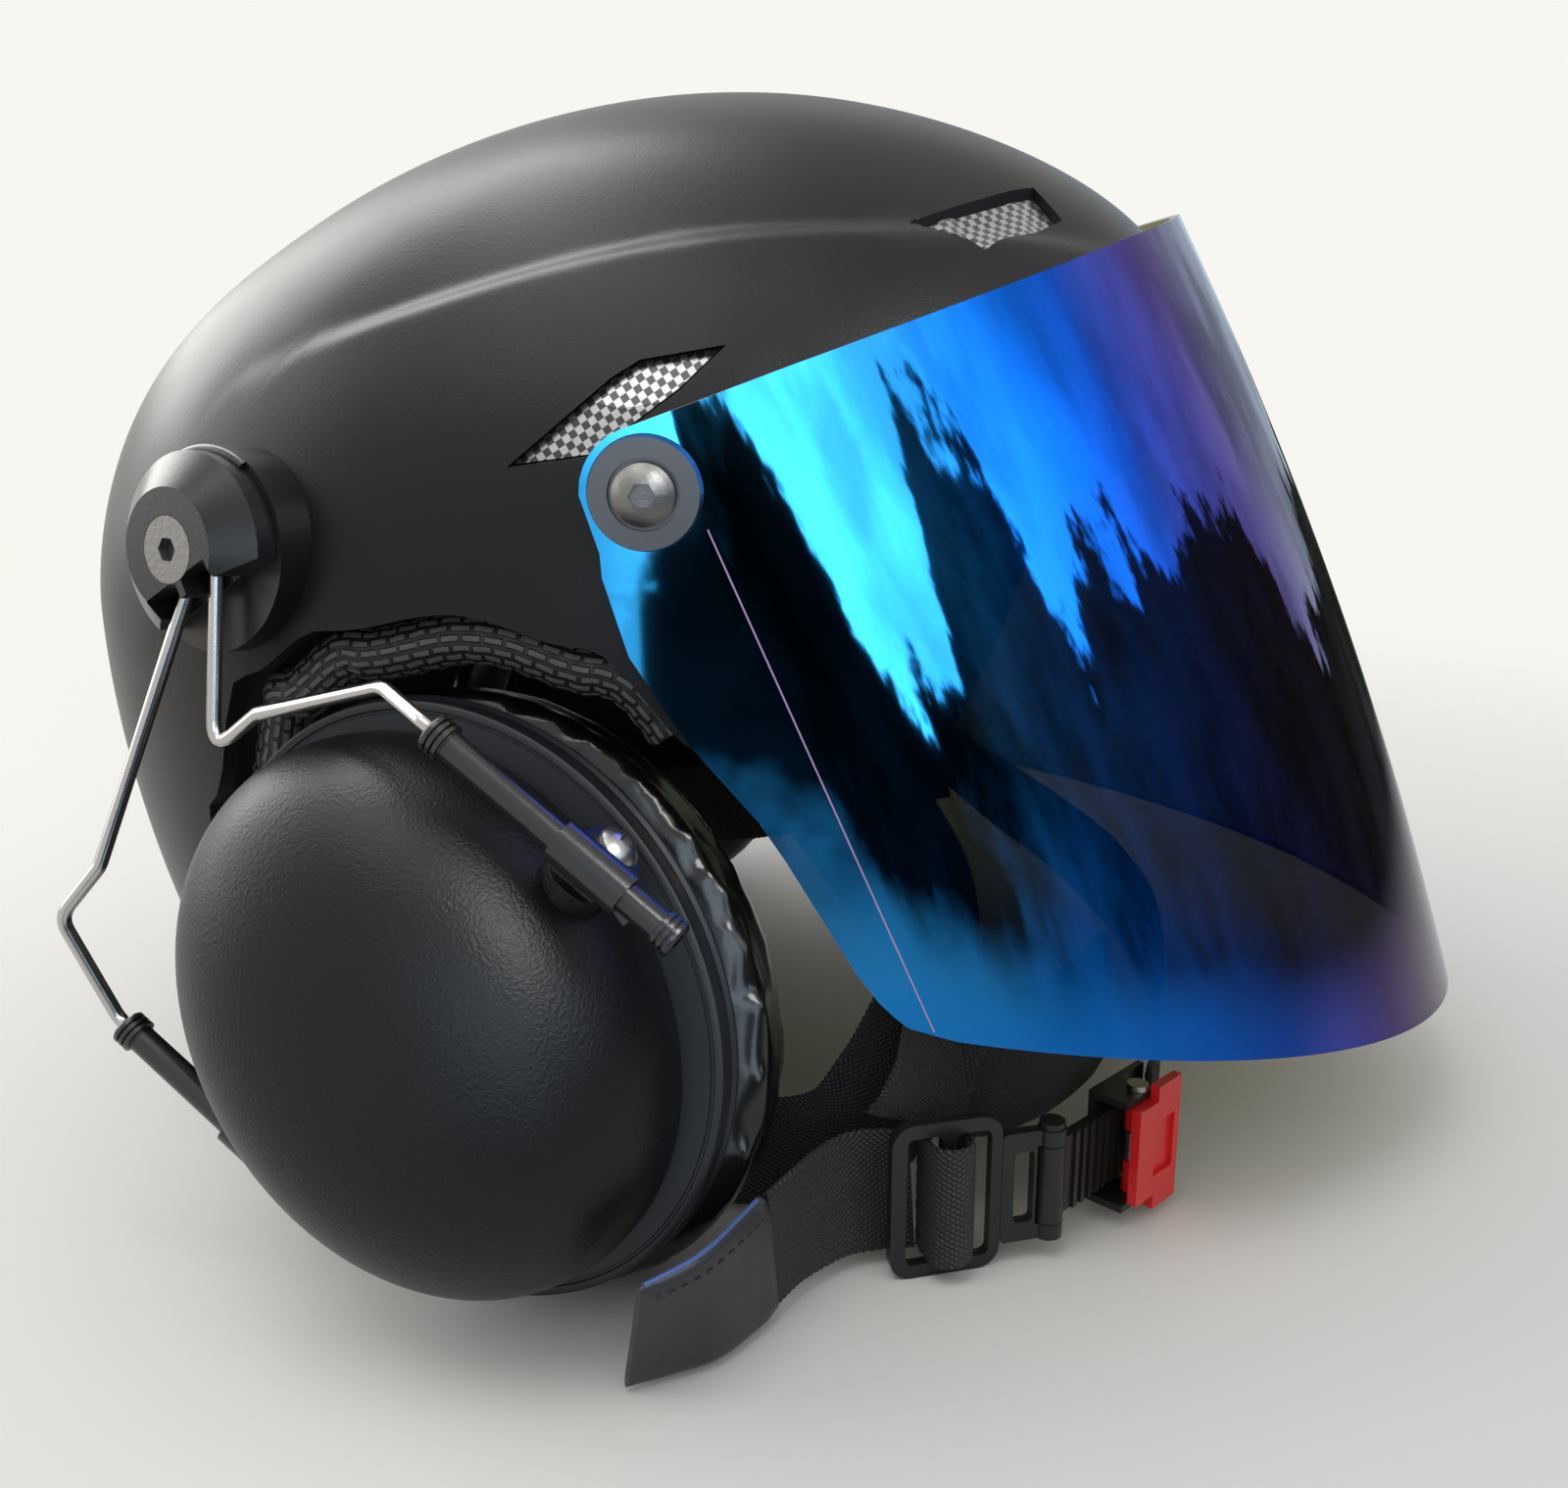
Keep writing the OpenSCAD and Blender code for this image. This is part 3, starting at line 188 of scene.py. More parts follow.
cushion_mat = plain("cushion_skin", (0.005, 0.005, 0.006), 0.2, coat=0.2, grain=0.04, fineness=350,
                    spots=0.03, spec=0.4)
foam_mat = plain("foam_black", (0.02, 0.02, 0.02), 0.9, grain=0.6, fineness=380, spec=0.2)
lining_mat = plain("lining_cloth", (0.014, 0.014, 0.0155), 0.95, grain=0.7, fineness=1600, spec=0.2,
                   sheen=0.2)
metal_black = plain("buckle_black", (0.016, 0.016, 0.017), 0.34, metallic=0.35, grain=0.07)
lever_mat = plain("lever_red", (0.62, 0.012, 0.012), 0.3, coat=0.1)
web_mat = woven("webbing", (0.0085, 0.0085, 0.0095), 0.0016, 0.0011, 0.9, rough=0.6, sheen=0.04)
flap_mat = woven("flap_cloth", (0.008, 0.008, 0.009), 0.0009, 0.0009, 0.5, rough=0.8, sheen=0.15)
patch_mat = plain("patch_satin", (0.0045, 0.0055, 0.0105), 0.45, grain=0.25, fineness=2200, sheen=0.1)
piping_mat = plain("patch_piping", (0.03, 0.09, 0.32), 0.5, grain=0.2, fineness=2200, sheen=0.2)
thread_mat = plain("thread", (0.016, 0.014, 0.012), 0.7)
# The sheet's cut edges: pale brown, the plastic's own tint, made pale as well to paint the highlight along
# the edges
edge_tint_and_highlight_mat = plain("visor_edge", (0.30, 0.25, 0.19), 0.3)
# Painted highlight: the pale lavender line along the visor's bend, where the mirror catches the light
painted_highlight_mat = plain("visor_painted_highlight", (0.45, 0.30, 0.55), 0.35)


def roll_material():
    """Black padded cloth with staggered rows of short raised bars."""
    m, nt, _ = new_material("roll_weave", {"Roughness": 0.46, "Specular IOR Level": 0.4})
    values = {"Vector": output_of(nt, "ShaderNodeUVMap", "UV"), "Scale": 1.0, "Mortar Size": 0.0005,
              "Mortar Smooth": 0.5, "Brick Width": 0.0040, "Row Height": 0.0019}
    bars = node_of(nt, "ShaderNodeTexBrick", values, offset=0.5).outputs["Fac"]
    bump_of(nt, bars, 1.0, 0.0007, invert=True)
    tone_of(nt, bars, (0.085, 0.086, 0.089), (0.006, 0.006, 0.007))
    return m


# Checks on the vent inserts: their side, their slant, and the height above which they are laid from above
CHECK_SIDE, CHECK_SLANT, CHECK_CROWN = 0.00135, -34, 0.178


def checker_material():
    """Small silver and black checks, slanted, laid from the side on the sides and from above on the crown."""
    m, nt, b = new_material("insert_checks", {"Roughness": 0.28, "Coat Weight": 0.4})
    part = split(nt, object_place(nt))
    height = split(nt, output_of(nt, "ShaderNodeNewGeometry", "Position"))["Z"]
    crown = math_of(nt, "GREATER_THAN", height, CHECK_CROWN)
    second = node_of(nt, "ShaderNodeMix", {"Factor": crown, "A": part["Z"], "B": part["Y"]})
    flat = node_of(nt, "ShaderNodeCombineXYZ", {"X": part["X"], "Y": second.outputs["Result"]})
    slant = {"Rotation": (0, 0, math.radians(CHECK_SLANT)), "Location": (0, 0, 0.00037)}
    slanted = node_of(nt, "ShaderNodeMapping", {"Vector": flat.outputs["Vector"], **slant})
    colours = {"Color1": (0.36, 0.36, 0.38, 1), "Color2": (0.012, 0.012, 0.014, 1), "Scale": 1 / CHECK_SIDE}
    check = node_of(nt, "ShaderNodeTexChecker", {"Vector": slanted.outputs["Vector"], **colours})
    feed(b, {"Base Color": check.outputs["Color"], "Metallic": check.outputs["Fac"]})
    return m


# The coating's colour, from where the sheet is seen straight on to where it is seen edge on
VISOR_TINTS = [(0.0, (0.045, 0.42, 0.75)), (0.12, (0.008, 0.16, 0.54)), (0.22, (0.004, 0.105, 0.50)),
               (0.32, (0.006, 0.07, 0.44)), (0.42, (0.06, 0.08, 0.48)), (0.55, (0.07, 0.03, 0.22)),
               (0.70, (0.07, 0.035, 0.12)), (0.94, (0.07, 0.055, 0.10)), (1.0, (0.22, 0.17, 0.28))]


def visor_outside():
    """Blue mirror coating, which turns violet where it is seen at a slant."""
    m, nt, b = new_material("visor_mirror")
    slant = node_of(nt, "ShaderNodeLayerWeight", {"Blend": 0.5}).outputs["Facing"]
    feed(b, {"Base Color": ramp_of(nt, slant, 0.0, 1.0, VISOR_TINTS), "Metallic": 1.0, "Roughness": 0.035})
    bump_of(nt, noise_of(nt, object_place(nt), 9.0, 1.0), 0.06, 0.004)
    clear = node_of(nt, "ShaderNodeBsdfTransparent", {"Color": (0.30, 0.29, 0.20, 1)})
    mix_shaders(nt, fitted(nt, output_of(nt, "ShaderNodeNewGeometry", "Backfacing"), 0.90, 0.12), clear, b)
    return m


def visor_inside():
    """Olive and see-through from within."""
    m, nt, b = new_material("visor_inside")
    soft = fitted(nt, noise_of(nt, object_place(nt), 60.0), 0.03, 0.07)
    feed(b, {"Base Color": (0.03, 0.035, 0.03, 1), "Roughness": soft})
    mix_shaders(nt, 0.12, node_of(nt, "ShaderNodeBsdfTransparent", {"Color": (0.8, 0.8, 0.66, 1)}), b)
    return m


roll_mat, check_mat = roll_material(), checker_material()
visor_out, visor_in = visor_outside(), visor_inside()


# Making meshes
def set_smooth(me, smooth=True, sharp=None):
    """Smooth or flat faces. Edges that turn by more than sharp degrees stay sharp."""
    me.polygons.foreach_set("use_smooth", [smooth] * len(me.polygons))
    if sharp:
        me.set_sharp_from_angle(angle=math.radians(sharp))


def add_mesh(name, verts, faces, mats=(), smooth=True, uv=None, sharp=None, face_mats=None):
    """verts in mm, faces as tuples of indices; uv is one pair per vertex."""
    me = bpy.data.meshes.new(name)
    me.from_pydata((np.asarray(verts, float) * MM).tolist(), [], faces)
    me.validate()
    for m in mats:
        me.materials.append(m)
    if face_mats:
        me.polygons.foreach_set("material_index", face_mats)
    if uv is not None:
        layer = me.uv_layers.new(name="UVMap")
        loops = np.empty(len(me.loops), dtype=np.int32)
        me.loops.foreach_get("vertex_index", loops)
        layer.data.foreach_set("uv", np.asarray(uv, dtype=np.float32)[loops].ravel())
    set_smooth(me, smooth, sharp)
    return new_object(name, me)


def finish_piece(ob, body, slot, *replaced):
    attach(ob, body)
    if replaced:
        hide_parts(*replaced)
    return ob


def mirrored_copy(ob, name):
    """The same piece on the other side of the middle plane."""
    me = ob.data.copy()
    me.transform(Matrix.Scale(-1, 4, (0, 1, 0)))
    me.flip_normals()
    return new_object(name, me)


def pair(ob, body, slot, *replaced):
    """Attaches a piece whose name ends in right and its mirrored twin, both to one body."""
    finish_piece(ob, body, slot, *replaced)
    finish_piece(mirrored_copy(ob, ob.name.replace("right", "left")), body, slot, *replaced)


def both(ob, name, body, slot, *replaced):
    """Attaches a piece to the right body and its mirrored twin to the left one."""
    right = finish_piece(ob, body + "_right", slot, *[r + "_right" for r in replaced])
    twin = mirrored_copy(ob, name + "_left")
    return right, finish_piece(twin, body + "_left", slot, *[r + "_left" for r in replaced])


def unit(v):
    return v / np.linalg.norm(v, axis=-1, keepdims=True)


def circle(count):
    return np.linspace(0, 2 * math.pi, count, endpoint=False)


def grid_faces(rows, cols, wrap=True, start=0):
    """Four-sided faces between rows of cols points; wrap joins the end of a row to its beginning."""
    out = []
    for j in range(rows - 1):
        low, high = start + j * cols, start + (j + 1) * cols
        for i in range(cols if wrap else cols - 1):
            k = (i + 1) % cols
            out.append((low + i, low + k, high + k, high + i))
    return out


def ring_faces(rows, cols):
    """The faces of a grid that closes on itself both ways."""
    last = (rows - 1) * cols
    seam = [(last + i, last + (i + 1) % cols, (i + 1) % cols, i) for i in range(cols)]
    return grid_faces(rows, cols) + seam


def fan(first, cols, tip):
    """Triangles from a closed row of points, which begins at first, to the tip."""
    return [(first + i, first + (i + 1) % cols, tip) for i in range(cols)]


def end_caps(rows, cols):
    """The first and the last row of a grid as one face each."""
    return [tuple(range(cols))[::-1], tuple(range((rows - 1) * cols, rows * cols))]


def smooth_path(points, step):
    """A Catmull-Rom curve through the points, sampled about every step mm."""
    p = np.asarray(points, float)
    ext = np.vstack([2 * p[0] - p[1], p, 2 * p[-1] - p[-2]])
    out = []
    for i in range(1, len(ext) - 2):
        a, b, c, d = ext[i - 1 : i + 3]
        square, cube = 2 * a - 5 * b + 4 * c - d, 3 * b - a - 3 * c + d
        n = max(int(np.linalg.norm(c - b) / step), 2)
        for t in np.arange(n) / n:
            out.append(0.5 * (2 * b + (c - a) * t + square * t**2 + cube * t**3))
    out.append(p[-1])
    return np.array(out)


def filleted(points, radius):
    """A bent wire's line: straight runs with round bends."""
    p = np.asarray(points, float)
    out = [p[0]]
    for a, b, c in zip(p[:-2], p[1:-1], p[2:]):
        u, v = unit(a - b), unit(c - b)
        bend = math.acos(np.clip(-u @ v, -1, 1))
        reach = 0.45 * min(np.linalg.norm(a - b), np.linalg.norm(c - b))
        short = min(radius * math.tan(bend / 2), reach)
        s, e = b + u * short, b + v * short
        for t in np.linspace(0, 1, 7):
            out.append((1 - t) ** 2 * s + 2 * t * (1 - t) * b + t**2 * e)
    out.append(p[-1])
    return np.array(out)


def carried_frames(path):
    """Two normals along a path, turned as little as they can be."""
    tang = unit(np.gradient(path, axis=0))
    ref = np.array([0, 0, 1.0]) if abs(tang[0][2]) < 0.9 else np.array([1.0, 0, 0])
    ns = [unit(ref - tang[0] * (ref @ tang[0]))]
    for t in tang[1:]:
        ns.append(unit(ns[-1] - t * (ns[-1] @ t)))
    return np.array(ns), np.cross(tang, ns)


def lengths(path):
    """How far along the path each of its points is."""
    return np.concatenate([[0], np.cumsum(np.linalg.norm(np.diff(path, axis=0), axis=1))])


def uv_of(along, across):
    return np.stack(np.broadcast_arrays(along[:, None] * MM, across * MM), -1).reshape(-1, 2)


def tube(name, path, radii, sides, mat):
    n, b = carried_frames(path)
    radii = np.broadcast_to(radii, len(path))
    ang = circle(sides)
    ring = np.cos(ang)[:, None] * n[:, None] + np.sin(ang)[:, None] * b[:, None]
    verts = (path[:, None] + radii[:, None, None] * ring).reshape(-1, 3)
    faces = grid_faces(len(path), sides) + end_caps(len(path), sides)
    return add_mesh(name, verts, faces, [mat], uv=uv_of(lengths(path), ang * radii.mean()), sharp=50)


def strap_frame(points, widths, step):
    """A strap's smooth path, with the directions across it and out of its face."""
    path = smooth_path(points, step)
    k = np.linspace(0, len(points) - 1, len(path))
    knots = np.arange(len(points))
    wide = np.stack([np.interp(k, knots, part) for part in np.asarray(widths, float).T], -1)
    tang = unit(np.gradient(path, axis=0))
    side = unit(wide - tang * np.sum(wide * tang, -1, keepdims=True))
    return path, side, np.cross(tang, side)


RIB_PITCH, RIDGES, STRAP_COLS = 1.5, 17, 34


def strap(name, points, widths, w, t, mat, step, weave):
    """Webbing along points; widths gives the direction of its width. The ribs are in the mesh."""
    path, side, up = strap_frame(points, widths, step)
    along = lengths(path)
    u = np.linspace(-1, 1, STRAP_COLS)
    prof = [(x, sign * (1 - abs(x) ** 14) ** 0.5) for sign, run in ((1, u), (-1, u[::-1])) for x in run]
    x, y = np.array(prof).T
    stagger = 0.5 * math.pi * (np.floor(x * RIDGES / 2 + 0.5) % 2)
    rib = np.abs(np.sin(math.pi * along[:, None] / RIB_PITCH + stagger))
    cord = 0.6 + 0.4 * np.abs(np.cos(math.pi * x * RIDGES / 2))
    edge = 1 + 0.35 * (np.abs(x) > 0.93)
    lift = weave * (rib * cord * edge - 0.5) * np.sign(y + 1e-9) * (np.abs(y) > 0.02)
    fray = 0.14 * np.sin(2 * math.pi * along / RIB_PITCH)[:, None] * np.sign(x) * (np.abs(x) > 0.97)
    verts = path[:, None] + (x * w / 2 + fray)[..., None] * side[:, None]
    verts = verts + (y * (t / 2 - 0.05) + lift)[..., None] * up[:, None]
    faces = grid_faces(len(path), len(x)) + end_caps(len(path), len(x))
    return add_mesh(name, verts.reshape(-1, 3), faces, [mat], uv=uv_of(along, x * w / 2))


def fixed(ob):
    """The same object, with its faces turned outwards."""
    bm = bmesh.new()
    bm.from_mesh(ob.data)
    bmesh.ops.recalc_face_normals(bm, faces=bm.faces)
    bm.to_mesh(ob.data)
    bm.free()
    return ob


def closed(name, verts, faces):
    """A closed solid with flat faces, to cut with."""
    return fixed(add_mesh(name, verts, faces, smooth=False))


def prism(outline, place, low, high):
    """A closed outline drawn out from low to high. place turns (u, v, w) into x, y, z."""
    verts = [place(u, v, w) for w in (low, high) for u, v in outline]
    return closed("cut_vent", verts, end_caps(2, len(outline)) + grid_faces(2, len(outline)))


def bake_modifiers(ob):
    """Makes what the modifiers give the object's own mesh."""
    deps = bpy.context.evaluated_depsgraph_get()
    me = bpy.data.meshes.new_from_object(ob.evaluated_get(deps))
    ob.modifiers.clear()
    ob.data = me
    return me


def cut(ob, tools):
    for tool in tools:
        mod = ob.modifiers.new("cut", "BOOLEAN")
        mod.operation = "DIFFERENCE"
        mod.solver = "EXACT"
        mod.object = tool
    me = bake_modifiers(ob)
    for tool in tools:
        bpy.data.objects.remove(tool)
    set_smooth(me, sharp=32)


def bevel(ob, width, segments, angle=35):
    mod = ob.modifiers.new("edge", "BEVEL")
    mod.width = width * MM
    mod.segments = segments
    mod.limit_method = "ANGLE"
    mod.angle_limit = math.radians(angle)


def paint(node, mat):
    ob = NODES[node]
    ob.data.materials.clear()
    ob.data.materials.append(mat)
    return ob


def dress(node, mat, round_edge, segments):
    ob = paint(node, mat)
    set_smooth(ob.data, sharp=33)
    if round_edge:
        bevel(ob, round_edge, segments)


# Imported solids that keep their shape: node, material, rounding of the edges in mm and its segments
DRESSED = [
    ("pivot_spacers", mount_mat, 0.3, 2), ("pivot_washers", washer_mat, 0.35, 3),
    ("pivot_screws", screw_mat, 0.25, 3), ("pivot_nuts", steel_mat, 0.2, 2),
    ("mount_nuts", steel_mat, 0.2, 2), ("mount_screws", screw_mat, 0.3, 2),
    ("slider", metal_black, 0.55, 4), ("hinge_frame", metal_black, 0.3, 3),
    ("hinge_pin", metal_black, 0.2, 2), ("toothed_tongue", metal_black, 0.12, 2),
    ("buckle_case", metal_black, 0.25, 2), ("case_pin", steel_mat, 0.3, 3),
    ("release_lever", lever_mat, 0.35, 3), ("lever_pawl", steel_mat, 0.1, 2),
    ("lever_spring", steel_mat, 0.1, 2), ("strap_rivets", steel_mat, 0.3, 3),
]
DRESSED_BOTH_SIDES = [
    ("mount_plate_", mount_mat, 0.5, 3), ("holder_", mount_mat, 0.4, 3), ("brackets_", sleeve_mat, 0.35, 3),
    ("bracket_screw_", steel_mat, 0.15, 2), ("cup_damper_", foam_mat, 0.0, 2),
]
for node, *look in DRESSED:
    dress(node, *look)
for node, *look in DRESSED_BOTH_SIDES:
    dress(node + "right", *look)
    dress(node + "left", *look)
paint("vent_inserts", check_mat)

# Shell: how far it reaches, how square its ovals are, where the brow's oval comes in
SHELL_X, WAIST, WALL = -12.0, 115.5, 3.0
HALF_W, REAR, NOSE, BROW, CROWN, DROP, BROW_W = 106.0, 144.5, 140.0, 107.0, 108.0, 200.0, 120.0
PLAN_N, RISE_N, BLEND_N = 2.18, 1.89, 9.0
BROW_IN = (-0.05, 0.12)
# The pressed crease: its highest elevation and the azimuth there, its fall to the front and the rear,
# its depth with the rise to it and the fade above it, and the azimuths and runs of its two ends
CREASE_TOP, CREASE_MID, CREASE_FALL = 45.2, 82, (0.0034, 0.0062)
CREASE_DEPTH, CREASE_RISE, CREASE_FADE = 2.4, 4, 26
CREASE_FRONT, CREASE_REAR = (25, 30), (150, 25)
# The swell at the nape: its height, the azimuth and run of its start, its elevation and half height
NAPE_OUT, NAPE_AZ, NAPE_EL = 1.6, (115, 40), (22, 20)
# Height of the rim by azimuth from the front
RIM = [(0, 160), (28, 160), (54, 146), (72, 100), (82, 92), (92, 102), (104, 121), (116, 126),
       (128, 122), (137, 112), (143, 86), (150, 38), (158, 0), (180, 0)]
# How far the foam's rim is above the shell's, up to each azimuth
FOAM_UP = [(60, 3), (97, 26), (130, 3), (147, 8), (181, 30)]
FOAM_RIM = [(a, z + next(up for end, up in FOAM_UP if a < end)) for a, z in RIM]
LINING_RIM = [(a, z + 2) for a, z in FOAM_RIM]
FOAM_LAYERS, LINING_LAYERS = (3.7, 23.7), (24.2, 30.2)
SIDE_VENT = [(-51, 151), (-33, 166), (-28, 169), (-13, 171.5), (-21, 164), (-36, 153)]
FRONT_VENT = [(20, -64), (34, -68), (51, -50), (46, -44), (35, -53)]
SIDE_VENT_DEPTH, FRONT_VENT_DEPTH = (78, 120), (170, 230)


def ease(u):
    return (1 - np.cos(np.pi * np.clip(u, 0, 1))) / 2


def table(rows, k):
    """The value at k in rows of a key and a value, eased between the keys."""
    rows = np.asarray(rows, float)
    k = np.clip(k, rows[0, 0], rows[-1, 0])
    i = np.clip(np.searchsorted(rows[:, 0], k, side="left") - 1, 0, len(rows) - 2)
    f = ease((k - rows[i, 0]) / (rows[i + 1, 0] - rows[i, 0]))
    return rows[i, 1] + (rows[i + 1, 1] - rows[i, 1]) * f


def gauge(d, w):
    """One over the distance from the shell's middle to its surface along d, inset by w."""
    x, y, z = d[..., 0], d[..., 1], d[..., 2]
    nose = np.where(x > 0, NOSE, REAR) - w
    plan = (np.abs(x / nose) ** PLAN_N + np.abs(y / (HALF_W - w)) ** PLAN_N) ** (1 / PLAN_N)
    high = np.where(z > 0, CROWN, DROP) - w
    body = (plan**RISE_N + np.abs(z / high) ** RISE_N) ** (1 / RISE_N)
    brow = np.hypot(np.maximum(x, 0) / (BROW - w), y / (BROW_W - w))
    share = ease((x - BROW_IN[0]) / (BROW_IN[1] - BROW_IN[0]))
    return (body**BLEND_N + share * brow**BLEND_N) ** (1 / BLEND_N)


def heading(a, e):
    """The unit vector at azimuth a and elevation e in degrees."""
    a, e = np.radians(a), np.radians(e)
    return np.stack([np.cos(e) * np.cos(a), np.cos(e) * np.sin(a), np.sin(e)], -1)


def side_of(a):
    """Azimuth from the front, the same on both sides."""
    a = np.mod(a, 360)
    return np.where(a > 180, 360 - a, a)


def relief(a, e):
    """How far the crease goes in and the nape comes out."""
    s = side_of(a)
    above = e - CREASE_TOP + np.where(s < CREASE_MID, *CREASE_FALL) * (s - CREASE_MID) ** 2
    strength = ease((s - CREASE_FRONT[0]) / CREASE_FRONT[1]) * ease((CREASE_REAR[0] - s) / CREASE_REAR[1])
    depth = -CREASE_DEPTH * strength * ease(above / CREASE_RISE) * (1 - ease(above / CREASE_FADE))
    nape = ease((s - NAPE_AZ[0]) / NAPE_AZ[1]) * ease(1 - np.abs(e - NAPE_EL[0]) / NAPE_EL[1])
    return np.where(above < 0, 0, depth) + NAPE_OUT * nape


def skin(a, e, w):
    a, e = np.broadcast_arrays(np.asarray(a, float), np.asarray(e, float))
    h = heading(a, e)
    return np.array([SHELL_X, 0, WAIST]) + h * (1 / gauge(h, w) + relief(a, e))[..., None]


def rim_angle(a, z, w):
    """The elevation at which the surface is at height z."""
    e = np.zeros_like(a)
    for _ in range(14):
        e = np.degrees(np.arctan2(z - WAIST, np.cos(np.radians(e)) / gauge(heading(a, e), w)))
    return e


def shell_layers(name, layers, rim, cols, rows, mat):
    """A shell between insets layers[0] and layers[1], open below along its rim."""
    a = np.arange(cols) * 360 / cols
    z = table(rim, side_of(a))
    t = np.arange(rows) / rows
    verts, faces = [], []
    size = cols * rows + 1
    for k, w in enumerate(layers):
        e0 = rim_angle(a, z, w)
        p = skin(a, e0 + (90 - e0) * t[:, None], w)
        p[0, :, 2] = z
        verts.append(p.reshape(-1, 3))
        verts.append(skin(0.0, 90.0, w).reshape(1, 3))
        for f in grid_faces(rows, cols) + fan((rows - 1) * cols, cols, size - 1):
            f = tuple(v + k * size for v in f)
            faces.append(f if k == 0 else f[::-1])
    for i in range(cols):
        j = (i + 1) % cols
        faces.append((j, i, i + size, j + size))
    return add_mesh(name, np.vstack(verts), faces, [mat], sharp=40)


def shell_piece():
    ob = shell_layers("shell_skin", (0.0, WALL), RIM, 240, 130, shell_mat)
    tools = []
    for s in (-1, 1):
        tools.append(prism(SIDE_VENT, lambda u, v, w, s=s: (u, s * w, v), *SIDE_VENT_DEPTH))
        tools.append(prism(FRONT_VENT, lambda u, v, w, s=s: (u, -s * v, w), *FRONT_VENT_DEPTH))
    cut(ob, tools)
    bevel(ob, 0.45, 2, 50)
    finish_piece(ob, "helmet", "shell", "outer_shell")


shell_piece()
foam = shell_layers("foam_skin", FOAM_LAYERS, FOAM_RIM, 120, 36, foam_mat)
finish_piece(foam, "helmet", "foam", "foam_liner")
lining = shell_layers("lining_skin", LINING_LAYERS, LINING_RIM, 120, 36, lining_mat)
finish_piece(lining, "helmet", "lining", "comfort_lining")

# Ear rolls: diameter, azimuths of their ends, and the half length and height of the padding's waves
ROLL_D, ROLL_ENDS, ROLL_STEP, ROLL_WAVE, ROLL_WAVE_H = 10.4, (97, 145), 0.8, 2.1, 0.16


def roll_line():
    """The roll's middle, which follows the rim under the ear arch."""
    a = np.linspace(*ROLL_ENDS, 25)
    z = table(RIM, a)
    p = skin(360 - a, rim_angle(a, z, 0.0), WALL + ROLL_D / 2)
    steep = np.minimum(np.abs(table(RIM, a + 1) - z) / 6, 1)
    drop = ROLL_D / 2 + 0.3
    return np.stack([p[:, 0] + drop * steep * 0.5, p[:, 1], z - drop * (1 - 0.55 * steep)], -1)


roll_path = smooth_path(roll_line(), ROLL_STEP)
roll_wave = np.sin(np.arange(len(roll_path)) * ROLL_STEP / ROLL_WAVE * math.pi)
roll_radii = ROLL_D / 2 - 0.25 + ROLL_WAVE_H * roll_wave
pair(tube("roll_right", roll_path, roll_radii, 28, roll_mat), "helmet", "roll", "ear_rolls")

# Visor: x and height from the pivot before it leans; flat beside the pivot, then bent round to the front
PIVOT = np.array([-26.0, 0, 148.0])
VISOR_LEAN = math.radians(23.7)
VISOR_HALF, VISOR_FRONT, VISOR_BEND, VISOR_T = 107, 117, 7, 2.0
# The bulge of the front: how far, and the height and half height of it
BULGE, BULGE_H, BULGE_SPAN = 5, -88.0, 95
ROUND_END = [math.radians(a) for a in range(200, 79, -8)]
VISOR_TOP = [(-14.2, -24), (-12.6, -10)] + [(11 * math.cos(a), 11 * math.sin(a)) for a in ROUND_END]
VISOR_TOP += [(30, 9), (126, 1.5)]
VISOR_LOW = [(-14.2, -24), (-11.4, -42), (-5.3, -62), (-2.6, -84), (-1, -97), (2.5, -106), (10, -112.5),
             (126, -189)]
# x of the columns on the flat side, close together at its round end
FLAT_X = np.array([-14.2, -14.05, -13.7, -13.2, -12.6, -12, -11.2, -10.2, -9, -7.5, -6, -4.5, -3, -1.5,
                   0, 1.5, 3, 4.5, 6])


def visor_point(t, h, inset):
    """t below 0 is the flat side, as x less the bend's x; from 0 to 90 it goes round to the front."""
    bulge = BULGE * (1 - ((h - BULGE_H) / BULGE_SPAN) ** 2)
    ang = np.radians(np.clip(t, 0, 90))
    reach = VISOR_FRONT - VISOR_BEND + bulge + inset
    x = VISOR_BEND + np.where(t < 0, t, reach * np.sin(ang))
    return x, (VISOR_HALF + inset) * np.cos(ang), h


def leaned(p):
    c, s = math.cos(VISOR_LEAN), math.sin(VISOR_LEAN)
    return np.stack([p[:, 0] * c - p[:, 2] * s, p[:, 1], p[:, 0] * s + p[:, 2] * c], -1) + PIVOT


def edge_height(edge, t):
    """The height of an upper or lower edge, given by x, at each t."""
    xs, hs = np.array(edge).T
    h = np.full(len(t), BULGE_H)
    for _ in range(9):
        h = np.interp(visor_point(t, h, 0.0)[0], xs, hs)
    return h


